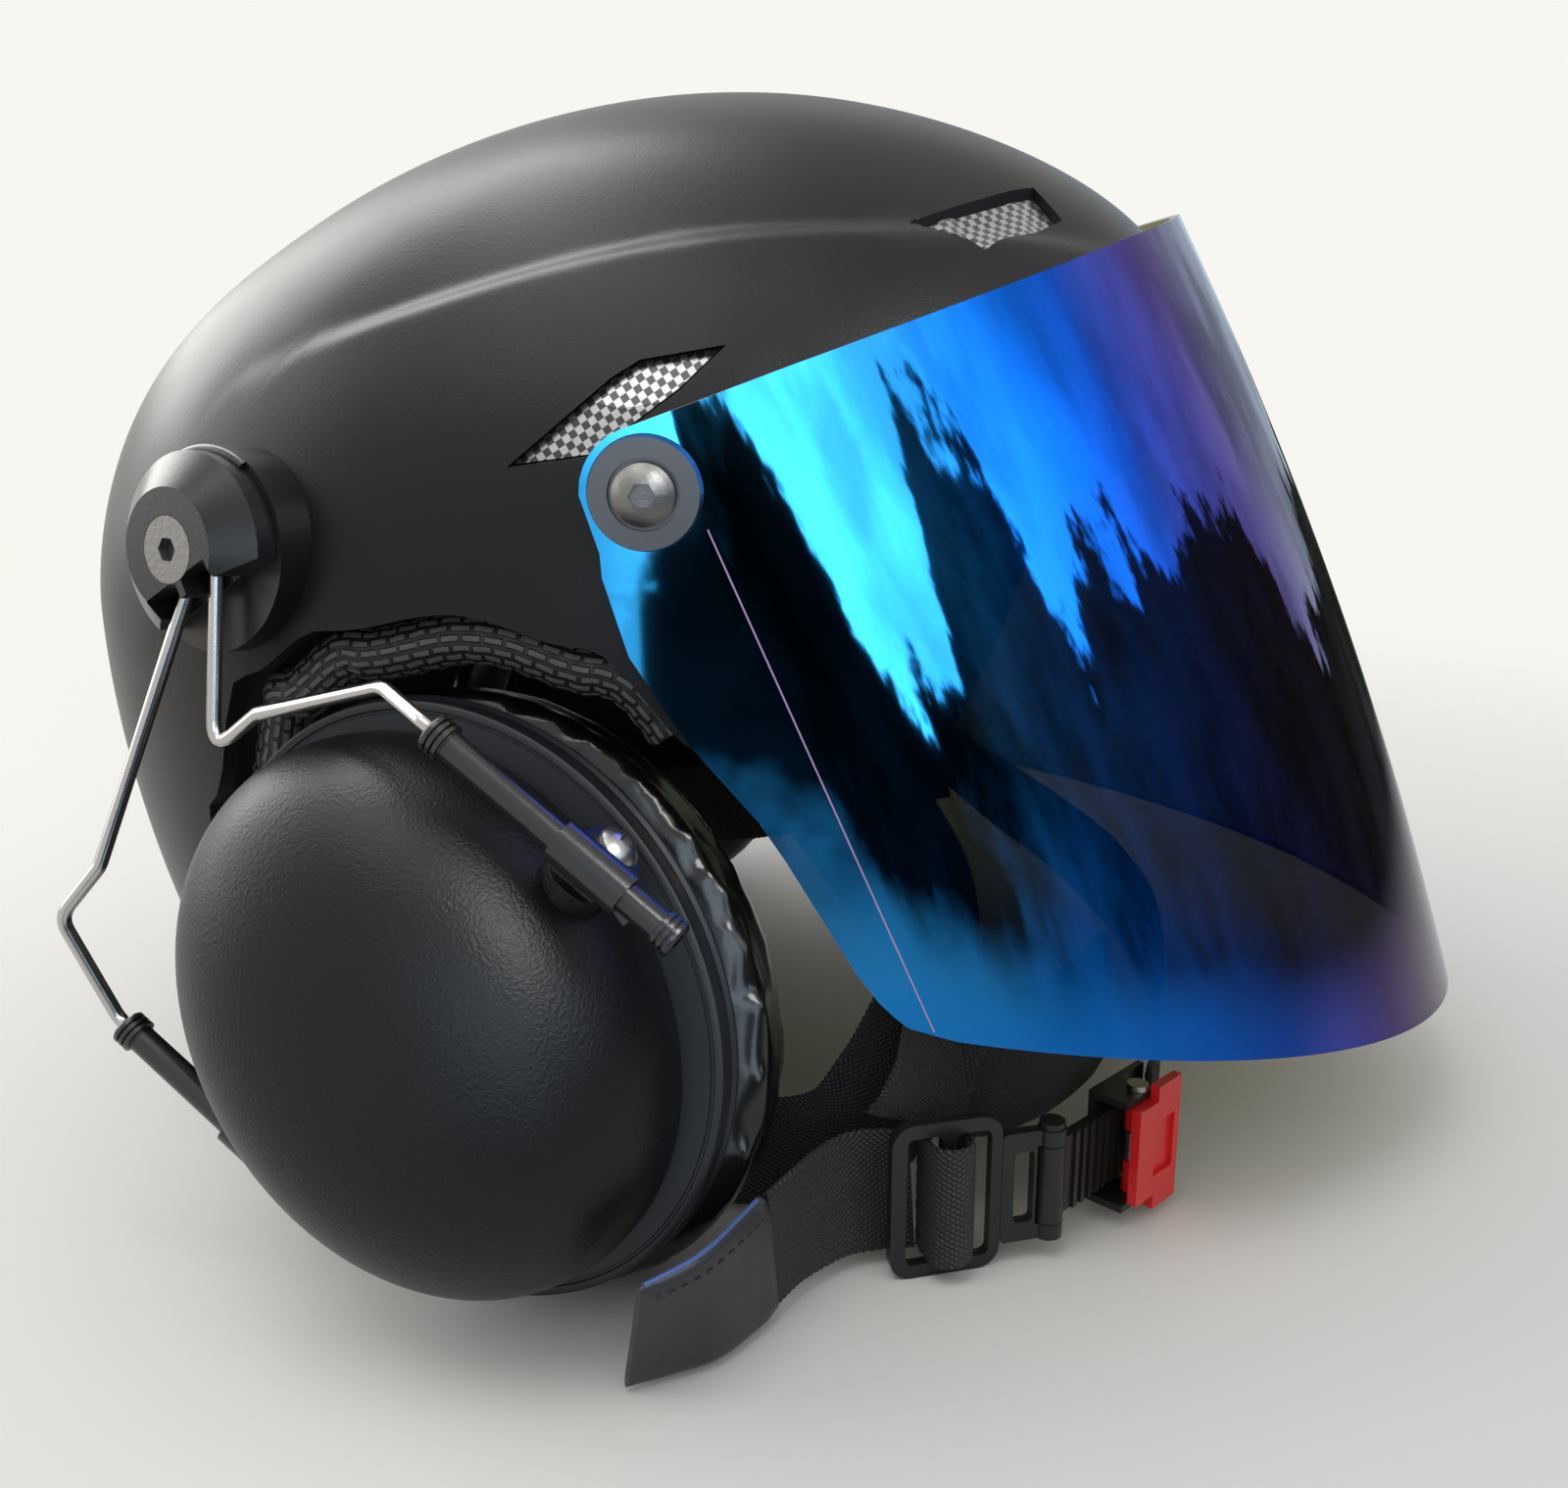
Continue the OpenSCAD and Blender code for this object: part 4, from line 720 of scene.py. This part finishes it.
def visor_piece():
    t = np.concatenate([FLAT_X - VISOR_BEND, np.linspace(0, 90, 110)])
    rows = 70
    low, high = edge_height(VISOR_LOW, t), edge_height(VISOR_TOP, t)
    h = low[:, None] + (high - low)[:, None] * np.linspace(0, 1, rows)
    verts = []
    for inset in (VISOR_T, 0.0):
        half = np.stack(visor_point(t[:, None] * np.ones(rows), h, inset), -1)
        whole = np.concatenate([half, (half * [1, -1, 1])[-2::-1]])
        verts.append(whole.reshape(-1, 3))
    cols = 2 * len(t) - 1
    n = cols * rows
    faces, kinds = [], []
    for i in range(cols - 1):
        for j in range(rows - 1):
            q = (i * rows + j, (i + 1) * rows + j, (i + 1) * rows + j + 1, i * rows + j + 1)
            faces += [q[::-1], tuple(k + n for k in q)]
            kinds += [0, 1]
    upper_lower, ends = ((0, 1), (rows - 1, -1)), ((0, -1), (cols - 1, 1))
    rims = [(i * rows + j, (i + 1) * rows + j, way) for i in range(cols - 1) for j, way in upper_lower]
    rims += [(i * rows + j, i * rows + j + 1, way) for i, way in ends for j in range(rows - 1)]
    for one, two, way in rims:
        faces.append((one, two, two + n, one + n)[::way])
        kinds.append(2)
    mats = [visor_out, visor_in, edge_tint_and_highlight_mat]
    ob = add_mesh("visor_sheet", leaned(np.vstack(verts)), faces, mats, face_mats=kinds, sharp=50)
    finish_piece(ob, "visor", "visor", "visor")


def visor_painted_highlight():
    """A painted highlight: a thin pale line where the flat side starts to bend."""
    h = np.linspace(-9.7, -109, 40)
    line = np.stack([np.full(40, VISOR_BEND), np.full(40, -VISOR_HALF - VISOR_T - 0.02), h], -1)
    pair(tube("visor_line_right", leaned(line), 0.16, 8, painted_highlight_mat), "visor", "visor")


visor_piece()
visor_painted_highlight()

# Ear muff mounts
MOUNT_P, MOUNT_TURNS = skin(360 - 138.2, 9.0, 0.0), ((84, "x"), (-31, "z"))
CUP_P, CUP_TURNS = [-59.5, -111, 59.2], ((-36.5, "z"), (77, "x"), (-11, "z"))
TILT_P, TILT_TURNS = [-2.75, -1, 7.75], ((13.3, "x"), (-13.7, "z"))
RIM_R, RIM_Z = 17.6, 5.0


def turn(v, deg, axis):
    """v turned by deg degrees about the z or x axis."""
    c, s = math.cos(math.radians(deg)), math.sin(math.radians(deg))
    about = {"z": [[c, -s, 0], [s, c, 0], [0, 0, 1]], "x": [[1, 0, 0], [0, c, -s], [0, s, c]]}
    return np.asarray(v, float) @ np.array(about[axis]).T


def placed(v, place, turns):
    for deg, axis in turns:
        v = turn(v, deg, axis)
    return place + v


def mount_pt(v):
    return placed(v, MOUNT_P, MOUNT_TURNS)


def cup_pt(v):
    return placed(v, CUP_P, CUP_TURNS)


def tilt_pt(v):
    return cup_pt(placed(v, TILT_P, TILT_TURNS))


def mount_rim():
    """The raised rim round the back of the base plate."""
    ang = np.radians(np.linspace(58, 215, 50))
    path = np.stack([RIM_R * np.cos(ang), RIM_R * np.sin(ang), np.full(50, RIM_Z)], -1)
    pair(tube("mount_rim_right", mount_pt(path), 1.15, 10, mount_mat), "helmet", "mount")


mount_rim()

# Wires and sleeves
# Where the front and the rear wire leave the holder
FRONT_SEAT, REAR_SEAT = (mount_pt(turn([x, -5.5, 8.7], 30, "z")) for x in (4.2, -4.2))
SLEEVE_L, SLEEVE_D, WIRE_D, WIRE_BEND = 52.5, 5.2, 2.6, 5
# Where the wire enters its sleeve and where it ends, from the sleeve's mouth
WIRE_IN, WIRE_END = [-2, 0, 0], [48.5, 0, 0]
FRONT_SLEEVE, REAR_SLEEVE = np.array([-26.5, 40.2, 26.0]), np.array([-48.5, -50.5, -3.0])
FRONT_BENDS = [FRONT_SEAT, [-106, -97, 100.5], [-96, -101, 108.5], [-70, -115, 116.5]]
REAR_BENDS = [REAR_SEAT, [-129, -97, 78.5], [-137, -98, 69]]


def sleeve_profile():
    """Distance along the sleeve and radius, with a ribbed collar at each end."""
    r = SLEEVE_D / 2
    prof = [(0, 1.35), (0, r + 0.4), (0.3, r + 0.75)]
    for k in range(3):
        x = 0.4 + k * 1.2
        prof += [(x, r + 0.8), (x + 0.7, r + 0.8), (x + 0.85, r + 0.25), (x + 1.1, r + 0.25)]
    prof += [(3.95, r), (SLEEVE_L / 2, r + 0.05)]
    return prof + [(SLEEVE_L - x, y) for x, y in prof[-2::-1]]


def sleeve_mesh(name, start):
    profile, sides = sleeve_profile(), circle(36)
    verts = np.array([start + [x, r * math.cos(a), r * math.sin(a)] for x, r in profile for a in sides])
    faces = [f[::-1] for f in grid_faces(len(profile), len(sides))]
    return add_mesh(name, cup_pt(verts), faces, [sleeve_mat], sharp=40)


WIRES = [("front", FRONT_SLEEVE, FRONT_BENDS), ("rear", REAR_SLEEVE, REAR_BENDS)]
for tag, sleeve, bends in WIRES:
    route = filleted(bends + [cup_pt(sleeve + WIRE_IN), cup_pt(sleeve + WIRE_END)], WIRE_BEND)
    wire = tube("wire_%s_right" % tag, route, WIRE_D / 2, 20, wire_mat)
    both(wire, "wire_" + tag, "arm", "wire", tag + "_wire")
for tag, sleeve, _ in WIRES:
    both(sleeve_mesh("sleeve_%s_right" % tag, sleeve), "sleeve_" + tag, "arm", "mount", "sleeves")

# Ear cups: outline, height, wall and squareness of the cover, its turn on the bracket
CUP_A, CUP_B, DOME_H, DOME_WALL, DOME_N, CUP_TURN = 57.5, 45.0, 37.5, 2.4, 2.5, -18
# How much the cover and the ring are smaller than the base, and the side on which they are drawn in
DOME_IN, RING_IN, DRAWN_SIDE = 5.0, 1.5, math.radians(62)
DOME_A, DOME_B = CUP_A - DOME_IN, CUP_B - DOME_IN
# The front bracket's boss, and the room its pocket leaves under and beside the sleeve
FRONT_END, BOSS_L, BOSS_D, BOSS_HOLE_D = 44.0, 16.0, 12.5, 11.4
POCKET_Y, POCKET_Z = FRONT_SLEEVE[1] - SLEEVE_D / 2 - 1.8, FRONT_SLEEVE[2] - SLEEVE_D / 2 - 1.6
# The ring's section, as the distance out from the base's outline and the height
BAND = [(-17, -0.1), (-1.7, -0.1), (-1.5, -0.45), (-1.1, -0.45), (-0.9, -0.1), (0.0, -0.1), (0.5, -0.4),
        (0.75, -1.2), (0.8, -4.8), (0.9, -5.9), (1.3, -6.3), (1.6, -6.6), (1.6, -7.6), (1.3, -8.0),
        (-17, -8.0)]


def drawn_in(by):
    """The cover and the ring are drawn in on the side that faces forwards and up."""
    return -by * np.array([math.cos(DRAWN_SIDE), math.sin(DRAWN_SIDE), 0])


def dome_mesh(name, inset, cols, rows, low=0.0):
    a, b, h = DOME_A - inset, DOME_B - inset, DOME_H - inset
    t, ang = np.radians(np.linspace(0, 90, rows, endpoint=False)), circle(cols)
    f, z = np.cos(t)[:, None] ** (2 / DOME_N), h * np.sin(t)[:, None] ** (2 / DOME_N)
    p = np.stack(np.broadcast_arrays(a * f * np.cos(ang), b * f * np.sin(ang), z), -1).reshape(-1, 3)
    p[:cols, 2] = low
    verts = np.vstack([p, [[0, 0, h]]])
    faces = grid_faces(rows, cols) + fan((rows - 1) * cols, cols, len(p)) + [tuple(range(cols))[::-1]]
    verts = cup_pt(drawn_in(DOME_IN) + turn(verts, CUP_TURN, "z"))
    return fixed(add_mesh(name, verts, faces, [cup_mat]))


def cup_box(lo, hi, round_by):
    corners = [(x, y, z) for z in (lo[2], hi[2]) for y in (lo[1], hi[1]) for x in (lo[0], hi[0])]
    faces = [(0, 2, 3, 1), (4, 5, 7, 6), (0, 1, 5, 4), (2, 6, 7, 3), (0, 4, 6, 2), (1, 3, 7, 5)]
    ob = closed("cut_box", cup_pt(corners), faces)
    if round_by:
        bevel(ob, round_by, 4)
        bake_modifiers(ob)
    return ob


def pocket_boxes(grow, round_by):
    long_low, long_high = (-45, POCKET_Y - grow, POCKET_Z - grow), (55, POCKET_Y + 40, POCKET_Z + 40)
    deep_low, deep_high = (-4 - grow, 33.5 - grow, POCKET_Z - 0.8 - grow), (19 + grow, 73.5, POCKET_Z + 40)
    return [cup_box(long_low, long_high, round_by), cup_box(deep_low, deep_high, round_by)]


def cylinder_in_tilt(y0, length, d):
    ang = circle(48)
    verts = [(d / 2 * math.cos(a), y, d / 2 * math.sin(a)) for y in (y0, y0 + length) for a in ang]
    return closed("cut_round", tilt_pt(verts), grid_faces(2, len(ang)) + end_caps(2, len(ang)))


def hollow():
    return dome_mesh("cut_inner", DOME_WALL, 96, 28, low=-0.5)


def bracket_cuts():
    return pocket_boxes(0.0, 1.2) + [cylinder_in_tilt(FRONT_END - 0.3, 20, BOSS_HOLE_D)]


def cup_piece():
    ob = dome_mesh("cup_cover_right", 0.0, 144, 48)
    inner = hollow()
    cut(inner, pocket_boxes(DOME_WALL, 0.0))
    cut(ob, [inner] + bracket_cuts())
    bevel(ob, 0.5, 3, 40)
    both(ob, "cup_cover", "cup", "cup", "cup_dome")
    lug = cylinder_in_tilt(FRONT_END - BOSS_L, BOSS_L - 0.1, BOSS_D)
    lug.data.materials.append(cup_mat)
    cut(lug, [hollow()] + bracket_cuts())
    both(lug, "cup_lug", "cup", "cup", "cup_dome")


def band_piece():
    ang = circle(144)
    a, b = CUP_A - RING_IN, CUP_B - RING_IN
    verts = [((a + o) * math.cos(t), (b + o) * math.sin(t), z) for o, z in BAND for t in ang]
    verts = cup_pt(drawn_in(RING_IN) + turn(verts, CUP_TURN, "z"))
    ob = add_mesh("cup_band_right", verts, ring_faces(len(BAND), len(ang)), [band_mat], sharp=38)
    both(fixed(ob), "cup_band", "cup", "ring", "cup_ring")


cup_piece()
band_piece()

# Ear cushion: swelled by a cloth simulation from a slightly smaller ring
CUSHION_T, CUSHION_W, CUSHION_TOP, OVER, SHIFT = 19.0, 20.0, -8.1, 2.2, [2.5, 1.9, 0]
SWELL_MOST, VOXEL, CLOTH_FRAMES = 1.1, 3.2, 15
# The section, as shares of the width from the inside and of the thickness from the top
SECTION = [(0.02, 0.06), (0.12, 0.0), (0.35, 0.0), (0.65, 0.0), (0.88, 0.0), (0.98, 0.06), (0.93, 0.3),
           (0.97, 0.55), (0.98, 0.75), (0.84, 0.93), (0.5, 0.97), (0.18, 0.93), (0.02, 0.72), (0.02, 0.5),
           (0.06, 0.3)]


def swell(ob):
    """Cloth with inner pressure; no point moves further than SWELL_MOST or below the floor."""
    even = ob.modifiers.new("even", "REMESH")
    even.mode = "VOXEL"
    even.voxel_size = VOXEL * MM
    me = bake_modifiers(ob)
    before = np.array([v.co[:] for v in me.vertices])
    cloth = ob.modifiers.new("cloth", "CLOTH").settings
    cloth.use_pressure = True
    cloth.uniform_pressure_force = 4
    cloth.quality = 6
    cloth.mass = 0.2
    cloth.tension_stiffness = cloth.compression_stiffness = 12
    cloth.effector_weights.gravity = 0
    for f in range(1, CLOTH_FRAMES + 1):
        scene.frame_set(f)
    deps = bpy.context.evaluated_depsgraph_get()
    after = np.array([v.co[:] for v in ob.evaluated_get(deps).data.vertices])
    scene.frame_set(1)
    ob.modifiers.clear()
    move = after - before
    far = np.linalg.norm(move, axis=1, keepdims=True)
    done = before + move * np.minimum(1, SWELL_MOST * MM / np.maximum(far, 1e-9))
    done[:, 2] = np.maximum(done[:, 2], 0.0001)
    me.vertices.foreach_set("co", done.ravel())
    me.update()


def cushion_piece():
    ang = circle(120)
    verts = []
    for t in ang:
        for s, d in SECTION:
            out = OVER - (CUSHION_W * (1 - s) + 0.2)
            z = CUSHION_TOP - CUSHION_T * d
            verts.append(((CUP_A + out) * math.cos(t), (CUP_B + out) * math.sin(t), z))
    verts = cup_pt(SHIFT + turn(verts, CUP_TURN, "z"))
    faces = ring_faces(len(ang), len(SECTION))
    ob = fixed(add_mesh("cushion_skin_right", verts, faces, [cushion_mat]))
    swell(ob)
    fine = ob.modifiers.new("fine", "SUBSURF")
    fine.levels = fine.render_levels = 1
    set_smooth(bake_modifiers(ob))
    for piece in both(ob, "cushion_skin", "cup", "cushion", "cushion"):
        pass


cushion_piece()

# Chin strap: points along each piece, and the direction of its width at each of them
WEB_W, WEB_T, WEAVE, FLAP_W, FLAP_T = 25, 1.6, 0.24, 30, 3
SLIDER_P, SLIDER_YAW, SLIDER_MID, SLIDER_BAR = np.array([17.0, -110, 0]), 15, 16.0, 11.4
Z = (0, 0, 1)
FRONT_LEG = [(1, -95.8, 101), (14, -95, 84), (26, -94.6, 64), (27, -95.6, 46), (25, -97, 34), (22, -98, 27)]
FRONT_LEG_W = [(1, 0, 0.3), (1, 0, 0.4), (0.9, 0.4, 0.2), (0.6, 0.8, 0), (0.7, 0.7, 0.2), (0.8, 0.4, 0.3)]
REAR_LEG = [(-106.5, -64.6, 57), (-92, -70, 44), (-66, -74, 27), (-38, -80, 16), (-10, -86, 14), (9, -90, 19),
            (19, -91.5, 32), (26, -92, 46)]
REAR_LEG_W = [(0.2, 0, 1), (0.15, 0, 1), (0.1, 0, 1), Z, Z, (-0.4, 0, 0.9), (-0.75, 0, 0.65), (-0.85, 0, 0.5)]
ACROSS = [(71.8, -77, 16), (76, -66, 16.5), (80, -48, 18), (86, -25, 21), (89, 0, 25), (86, 24, 29),
          (76, 48, 35), (58, 70, 44), (38, 86, 56), (20, 94, 70), (9, 95.5, 86), (1, 95.8, 101)]
ACROSS_W = [Z] * 6
ACROSS_W += [(-0.2, 0, 1), (-0.4, 0.1, 1), (-0.6, 0.1, 0.8), (-0.85, 0, 0.5), (-1, 0, 0.2), (-1, 0, 0.1)]
FAR_LEG = [(44, 81, 50), (20, 82, 44), (-8, 80, 38), (-48, 76, 36), (-85, 70, 44), (-106.5, 64.6, 57)]
FAR_LEG_W = [Z, Z, Z, Z, (0.1, 0, 1), (0.2, 0, 1)]
FLAP = [(31, -85.5, 31), (40, -84, 32), (50, -79.5, 34), (59, -71, 36), (65, -62, 38)]
# The loop goes round the slider's bar, so its points are given from there
LOOP = [(1.2, 7.4), (3.9, 3.6), (3.9, -1), (2.2, -3.6), (-1, -4), (-3.4, -2.4), (-4, 1.2), (-4, 4.8)]
LOOP = SLIDER_P + turn([(SLIDER_BAR + x, y, SLIDER_MID) for x, y in LOOP], SLIDER_YAW, "z")
TAIL = [(21.3, -103.6, 16), (14, -103.2, 15.5), (8, -105.5, 15.5), (1, -113, 15.5), (-6, -123.5, 15)]
TAIL_W = [Z, (0, 0.1, 1), (0, 0.1, 1), Z, Z]


def webbing(name, node, body, points, widths, step):
    ob = strap(name, points, widths, WEB_W, WEB_T, web_mat, step, WEAVE)
    finish_piece(ob, body, "webbing", node)


webbing("strap_front_right", "chin_strap_right", "helmet", FRONT_LEG, FRONT_LEG_W, 0.4)
webbing("strap_rear_right", "chin_strap_right", "helmet", REAR_LEG, REAR_LEG_W, 0.4)
webbing("strap_across", "chin_strap_left", "helmet", ACROSS, ACROSS_W, 0.5)
webbing("strap_rear_left", "chin_strap_left", "helmet", FAR_LEG, FAR_LEG_W, 0.6)
flap = strap("flap_pad", FLAP, [Z] * len(FLAP), FLAP_W, FLAP_T, flap_mat, 1.0, 0.0)
finish_piece(flap, "helmet", "webbing", "buckle_flap")
webbing("strap_loop", "slider_loop", "slider", LOOP, [Z] * len(LOOP), 0.35)
webbing("strap_end", "strap_tail", "slider", TAIL, TAIL_W, 0.35)

# The folded satin patch over the strap's end, with piping on its top edge and a line of stitches
PATCH = [(-6.1, -123.7, 15), (-8, -126.8, 14.5), (-16, -137.5, 14), (-28, -145.5, 13.3)]
PATCH_W = [Z, (0, -0.1, 1), (0, -0.3, 1), (0, -0.42, 1)]
PATCH_HALF, PATCH_PUFF, PATCH_SAG, SEAM_UP = 13.0, 1.55, 0.075, 9.6


def patch_pieces():
    path, side, up = strap_frame(PATCH, PATCH_W, 0.8)
    out = up if up[-1][1] < 0 else -up
    u = np.linspace(-1, 1, 40)
    prof = [(x, 1) for x in u] + [(x, -1) for x in u[::-1]]
    verts = []
    for i, p in enumerate(path):
        f = i / (len(path) - 1)
        shut = 1 - 0.55 * f**6
        for x, s in prof:
            puff = (1 - abs(x) ** 10) ** 0.5
            thick = s * (PATCH_PUFF * puff * shut + PATCH_SAG * math.sin(3 * x + 5 * f))
            verts.append(p + side[i] * x * PATCH_HALF + out[i] * thick)
    faces = grid_faces(len(path), len(prof)) + end_caps(len(path), len(prof))
    ob = add_mesh("patch_fold", verts, faces, [patch_mat], sharp=60)
    finish_piece(fixed(ob), "slider", "patch", "tail_tab")
    top = path + side * PATCH_HALF
    finish_piece(tube("patch_edge", top[2:-1], 0.42, 8, piping_mat), "slider", "patch")
    seam = path + side * SEAM_UP + out * PATCH_PUFF
    for i in range(3, len(path) - 3, 3):
        a, b = seam[i], seam[i + 1] + 0.3 * (seam[i + 1] - seam[i])
        line = np.array([a, (a + b) / 2 + out[i] * 0.18, b])
        finish_piece(tube("patch_stitch_%d" % i, line, 0.22, 6, thread_mat), "slider", "patch")


patch_pieces()

# Floor: its middle and radius in metres, and where it fades with distance and towards the viewer
FLOOR_MID, FLOOR_R = np.array([0.0, -0.03, 0.0]), 0.8
FADE_FAR, FADE_NEAR = (0.17, 0.72), (-0.20, -0.36)


def floor():
    """A pale disc that fades away towards its edge, so that no horizon shows."""
    rings, ang = np.linspace(0.02, FLOOR_R, 24), circle(96)
    flat = np.stack([np.cos(ang), np.sin(ang), 0 * ang], -1)
    verts = FLOOR_MID + np.vstack([[[0, 0, 0]]] + [r * flat for r in rings])
    faces = fan(1, len(ang), 0) + grid_faces(len(rings), len(ang), start=1)
    values = {"Base Color": (0.71, 0.71, 0.70, 1), "Roughness": 0.85, "Specular IOR Level": 0.2}
    m, nt, b = new_material("floor_pale", values)
    place = object_place(nt)
    shift = node_of(nt, "ShaderNodeMapping", {"Vector": place, "Location": -FLOOR_MID})
    far = node_of(nt, "ShaderNodeVectorMath", {0: shift.outputs["Vector"]}, operation="LENGTH")
    fades = []
    for value, span in ((far.outputs["Value"], FADE_FAR), (split(nt, place)["Y"], FADE_NEAR)):
        fades.append(fitted(nt, value, 0.0, 1.0, *span, interpolation_type="SMOOTHSTEP"))
    bump_of(nt, noise_of(nt, place, 260.0, 4.0), 0.2, 0.0003)
    mix_shaders(nt, math_of(nt, "MAXIMUM", *fades), b, node_of(nt, "ShaderNodeBsdfTransparent"))
    fixed(add_mesh("floor", verts / MM, faces, [m], smooth=False))


floor()

# Lamps: name, place, size, power, colour, and whether they show in gloss only
LAMP_AIM = Vector((0, 0, 0.1))
LAMPS = [
    ("side", (-1.0, 0.15, 0.55), 0.9, 6, (1.0, 0.98, 0.95), False),
    ("key", (-0.3, -0.4, 1.2), 0.7, 4, (1.0, 0.985, 0.96), False),
    ("side_sheen", (-0.85, 0.62, 0.72), 0.75, 8, (1.0, 0.98, 0.96), True),
    ("key_sheen", (-0.45, 0.42, 1.2), 0.6, 9, (1.0, 0.98, 0.96), True),
    ("front_sheen", (0.55, -0.65, 0.9), 0.5, 9, (0.97, 0.985, 1.0), True),
]


def lamp(name, place, size, power, colour, gloss_only):
    data = bpy.data.lights.new(name, "AREA")
    data.energy = power
    data.color = colour
    data.shape = "SQUARE"
    data.size = size
    ob = new_object(name, data)
    ob.location = place
    ob.rotation_euler = (LAMP_AIM - Vector(place)).to_track_quat("-Z", "Y").to_euler()
    ob.visible_diffuse = not gloss_only


for row in LAMPS:
    lamp(*row)


def world_light():
    """Even light on the object; what is seen, mirrored or seen through is the pale wall."""
    w = bpy.data.worlds.new("room")
    scene.world = w
    w.use_nodes = True
    nt = w.node_tree
    wall = nt.nodes["Background"]
    wall.inputs["Color"].default_value = (0.94, 0.92, 0.87, 1)
    light = node_of(nt, "ShaderNodeBackground", {"Color": (1.0, 0.985, 0.965, 1), "Strength": 0.75})
    rays = node_of(nt, "ShaderNodeLightPath").outputs
    seen = math_of(nt, "MAXIMUM", rays["Is Camera Ray"], rays["Is Glossy Ray"])
    mix_shaders(nt, math_of(nt, "MAXIMUM", seen, rays["Is Transmission Ray"]), light, wall)


world_light()

# A card in front of the helmet, seen only in gloss: a bright sky, a ragged skyline and a darker ground.
# Its distance and middle in mm; the azimuths and elevations are in degrees
CARD_R, CARD_MID = 1500.0, np.array([0, 0, 110.0])
CARD_AZ, CARD_EL = (-118, 104), (-38, 34)
# How bright the card is by azimuth
AHEAD = [(-118, 0.35), (-99, 0.35), (-94, 1.0), (-66, 0.95), (-40, 0.85), (-15, 0.5), (5, 0.2), (26, 0.3),
         (104, 0.2)]
# Top of the skyline by azimuth, which a colour ramp holds as a share of its span
SKYLINE_LOW, SKYLINE_SPAN = -20.0, 45.0
SKYLINE = [(-118, -14), (-97, -12), (-91, 4), (-78, 1), (-73, -4), (-61, -3), (-55, 14), (-44, 13), (-38, 4),
           (-30, 11), (12, 15), (26, 3), (104, 2)]
SKYLINE = [(at, (top - SKYLINE_LOW) / SKYLINE_SPAN) for at, top in SKYLINE]
# How bright the ground is by elevation
GROUND = [(-34, 0.22), (-14, 0.42), (-10, 0.30), (-5, 0.16), (32, 0.12)]
# A dark patch in the ground: azimuth and half width, elevation and half height
DARK_AZ, DARK_EL = (-79.0, 19.0), (-8.0, 11.5)
# A bright piece of wall: the azimuth where it ends, its elevation, half height and brightness
WALL_AZ, WALL_EL, WALL_HALF, WALL_BRIGHT = -96.0, -9.0, 5.0, 1.1
# Where the card fades into the room
FADE_UP = [(-38, 1.0), (18, 1.0), (33, 0.0), (34, 0.0)]
FADE_ENDS = [(-118, 0.0), (-106, 1.0), (88, 1.0), (104, 0.0)]


def card_material():
    m, nt, b = new_material("card_glow")
    nt.nodes.remove(b)
    uv = output_of(nt, "ShaderNodeUVMap", "UV")
    az, el = split(nt, uv)["X"], split(nt, uv)["Y"]

    def calc(operation, *values):
        return math_of(nt, operation, *values)

    def cloudy(scale, detail, rough, stops):
        return ramp_of(nt, noise_of(nt, uv, scale, detail, rough), 0.0, 1.0, stops)

    ahead = ramp_of(nt, az, *CARD_AZ, AHEAD)
    ragged = calc("MULTIPLY_ADD", noise_of(nt, uv, 0.11, 7.0, 0.68), 22.0, SKYLINE_LOW - 11.0)
    leafy = calc("MULTIPLY_ADD", ramp_of(nt, az, *CARD_AZ, SKYLINE), SKYLINE_SPAN, ragged)
    above = calc("MULTIPLY_ADD", calc("SUBTRACT", el, leafy), 0.9, 0.5)
    sky = ramp_of(nt, above, 0.0, 1.0, [(0.0, 0.0), (1.0, 1.0)])
    cloud = cloudy(0.05, 5.0, 0.55, [(0.42, 0.5), (0.58, 1.0)])
    bright = calc("MULTIPLY", calc("MULTIPLY", calc("MULTIPLY", cloud, ahead), sky), 4.0)
    patchy = cloudy(0.09, 6.0, 0.65, [(0.40, 0.25), (0.60, 1.0)])
    below = calc("MULTIPLY", ramp_of(nt, el, -34.0, 32.0, GROUND), patchy)
    offsets = []
    for value, (middle, half) in ((az, DARK_AZ), (el, DARK_EL)):
        share = calc("DIVIDE", calc("SUBTRACT", value, middle), half)
        offsets.append(calc("MULTIPLY", share, share))
    uneven = calc("MULTIPLY_ADD", noise_of(nt, uv, 0.13, 5.0, 0.6), 2.2, -1.1)
    away = calc("ADD", calc("ADD", *offsets), uneven)
    clear = ramp_of(nt, away, 0.0, 2.0, [(0.75, 0.04), (1.25, 1.0)])
    ground = calc("MULTIPLY", calc("MULTIPLY", below, ahead), clear)
    level = calc("LESS_THAN", calc("ABSOLUTE", calc("SUBTRACT", el, WALL_EL)), WALL_HALF)
    near_wall = calc("MULTIPLY", calc("LESS_THAN", az, WALL_AZ), level)
    total = calc("MAXIMUM", calc("ADD", bright, ground), calc("MULTIPLY", near_wall, WALL_BRIGHT))
    glow = node_of(nt, "ShaderNodeEmission", {"Color": (0.78, 0.95, 1.12, 1), "Strength": total})
    solid = calc("MULTIPLY", ramp_of(nt, el, *CARD_EL, FADE_UP), ramp_of(nt, az, *CARD_AZ, FADE_ENDS))
    mix_shaders(nt, solid, node_of(nt, "ShaderNodeBsdfTransparent"), glow)
    return m


def card():
    az, el = np.linspace(*CARD_AZ, 112), np.linspace(*CARD_EL, 37)
    e, a = np.meshgrid(el, az, indexing="ij")
    verts = CARD_MID + CARD_R * heading(a.ravel(), e.ravel())
    faces = grid_faces(len(el), len(az), wrap=False)
    uv = np.stack([a.ravel(), e.ravel()], -1)
    ob = add_mesh("reflected_card", verts, faces, [card_material()], uv=uv)
    for kind in ("camera", "diffuse", "transmission", "volume_scatter", "shadow"):
        setattr(ob, "visible_" + kind, False)


card()
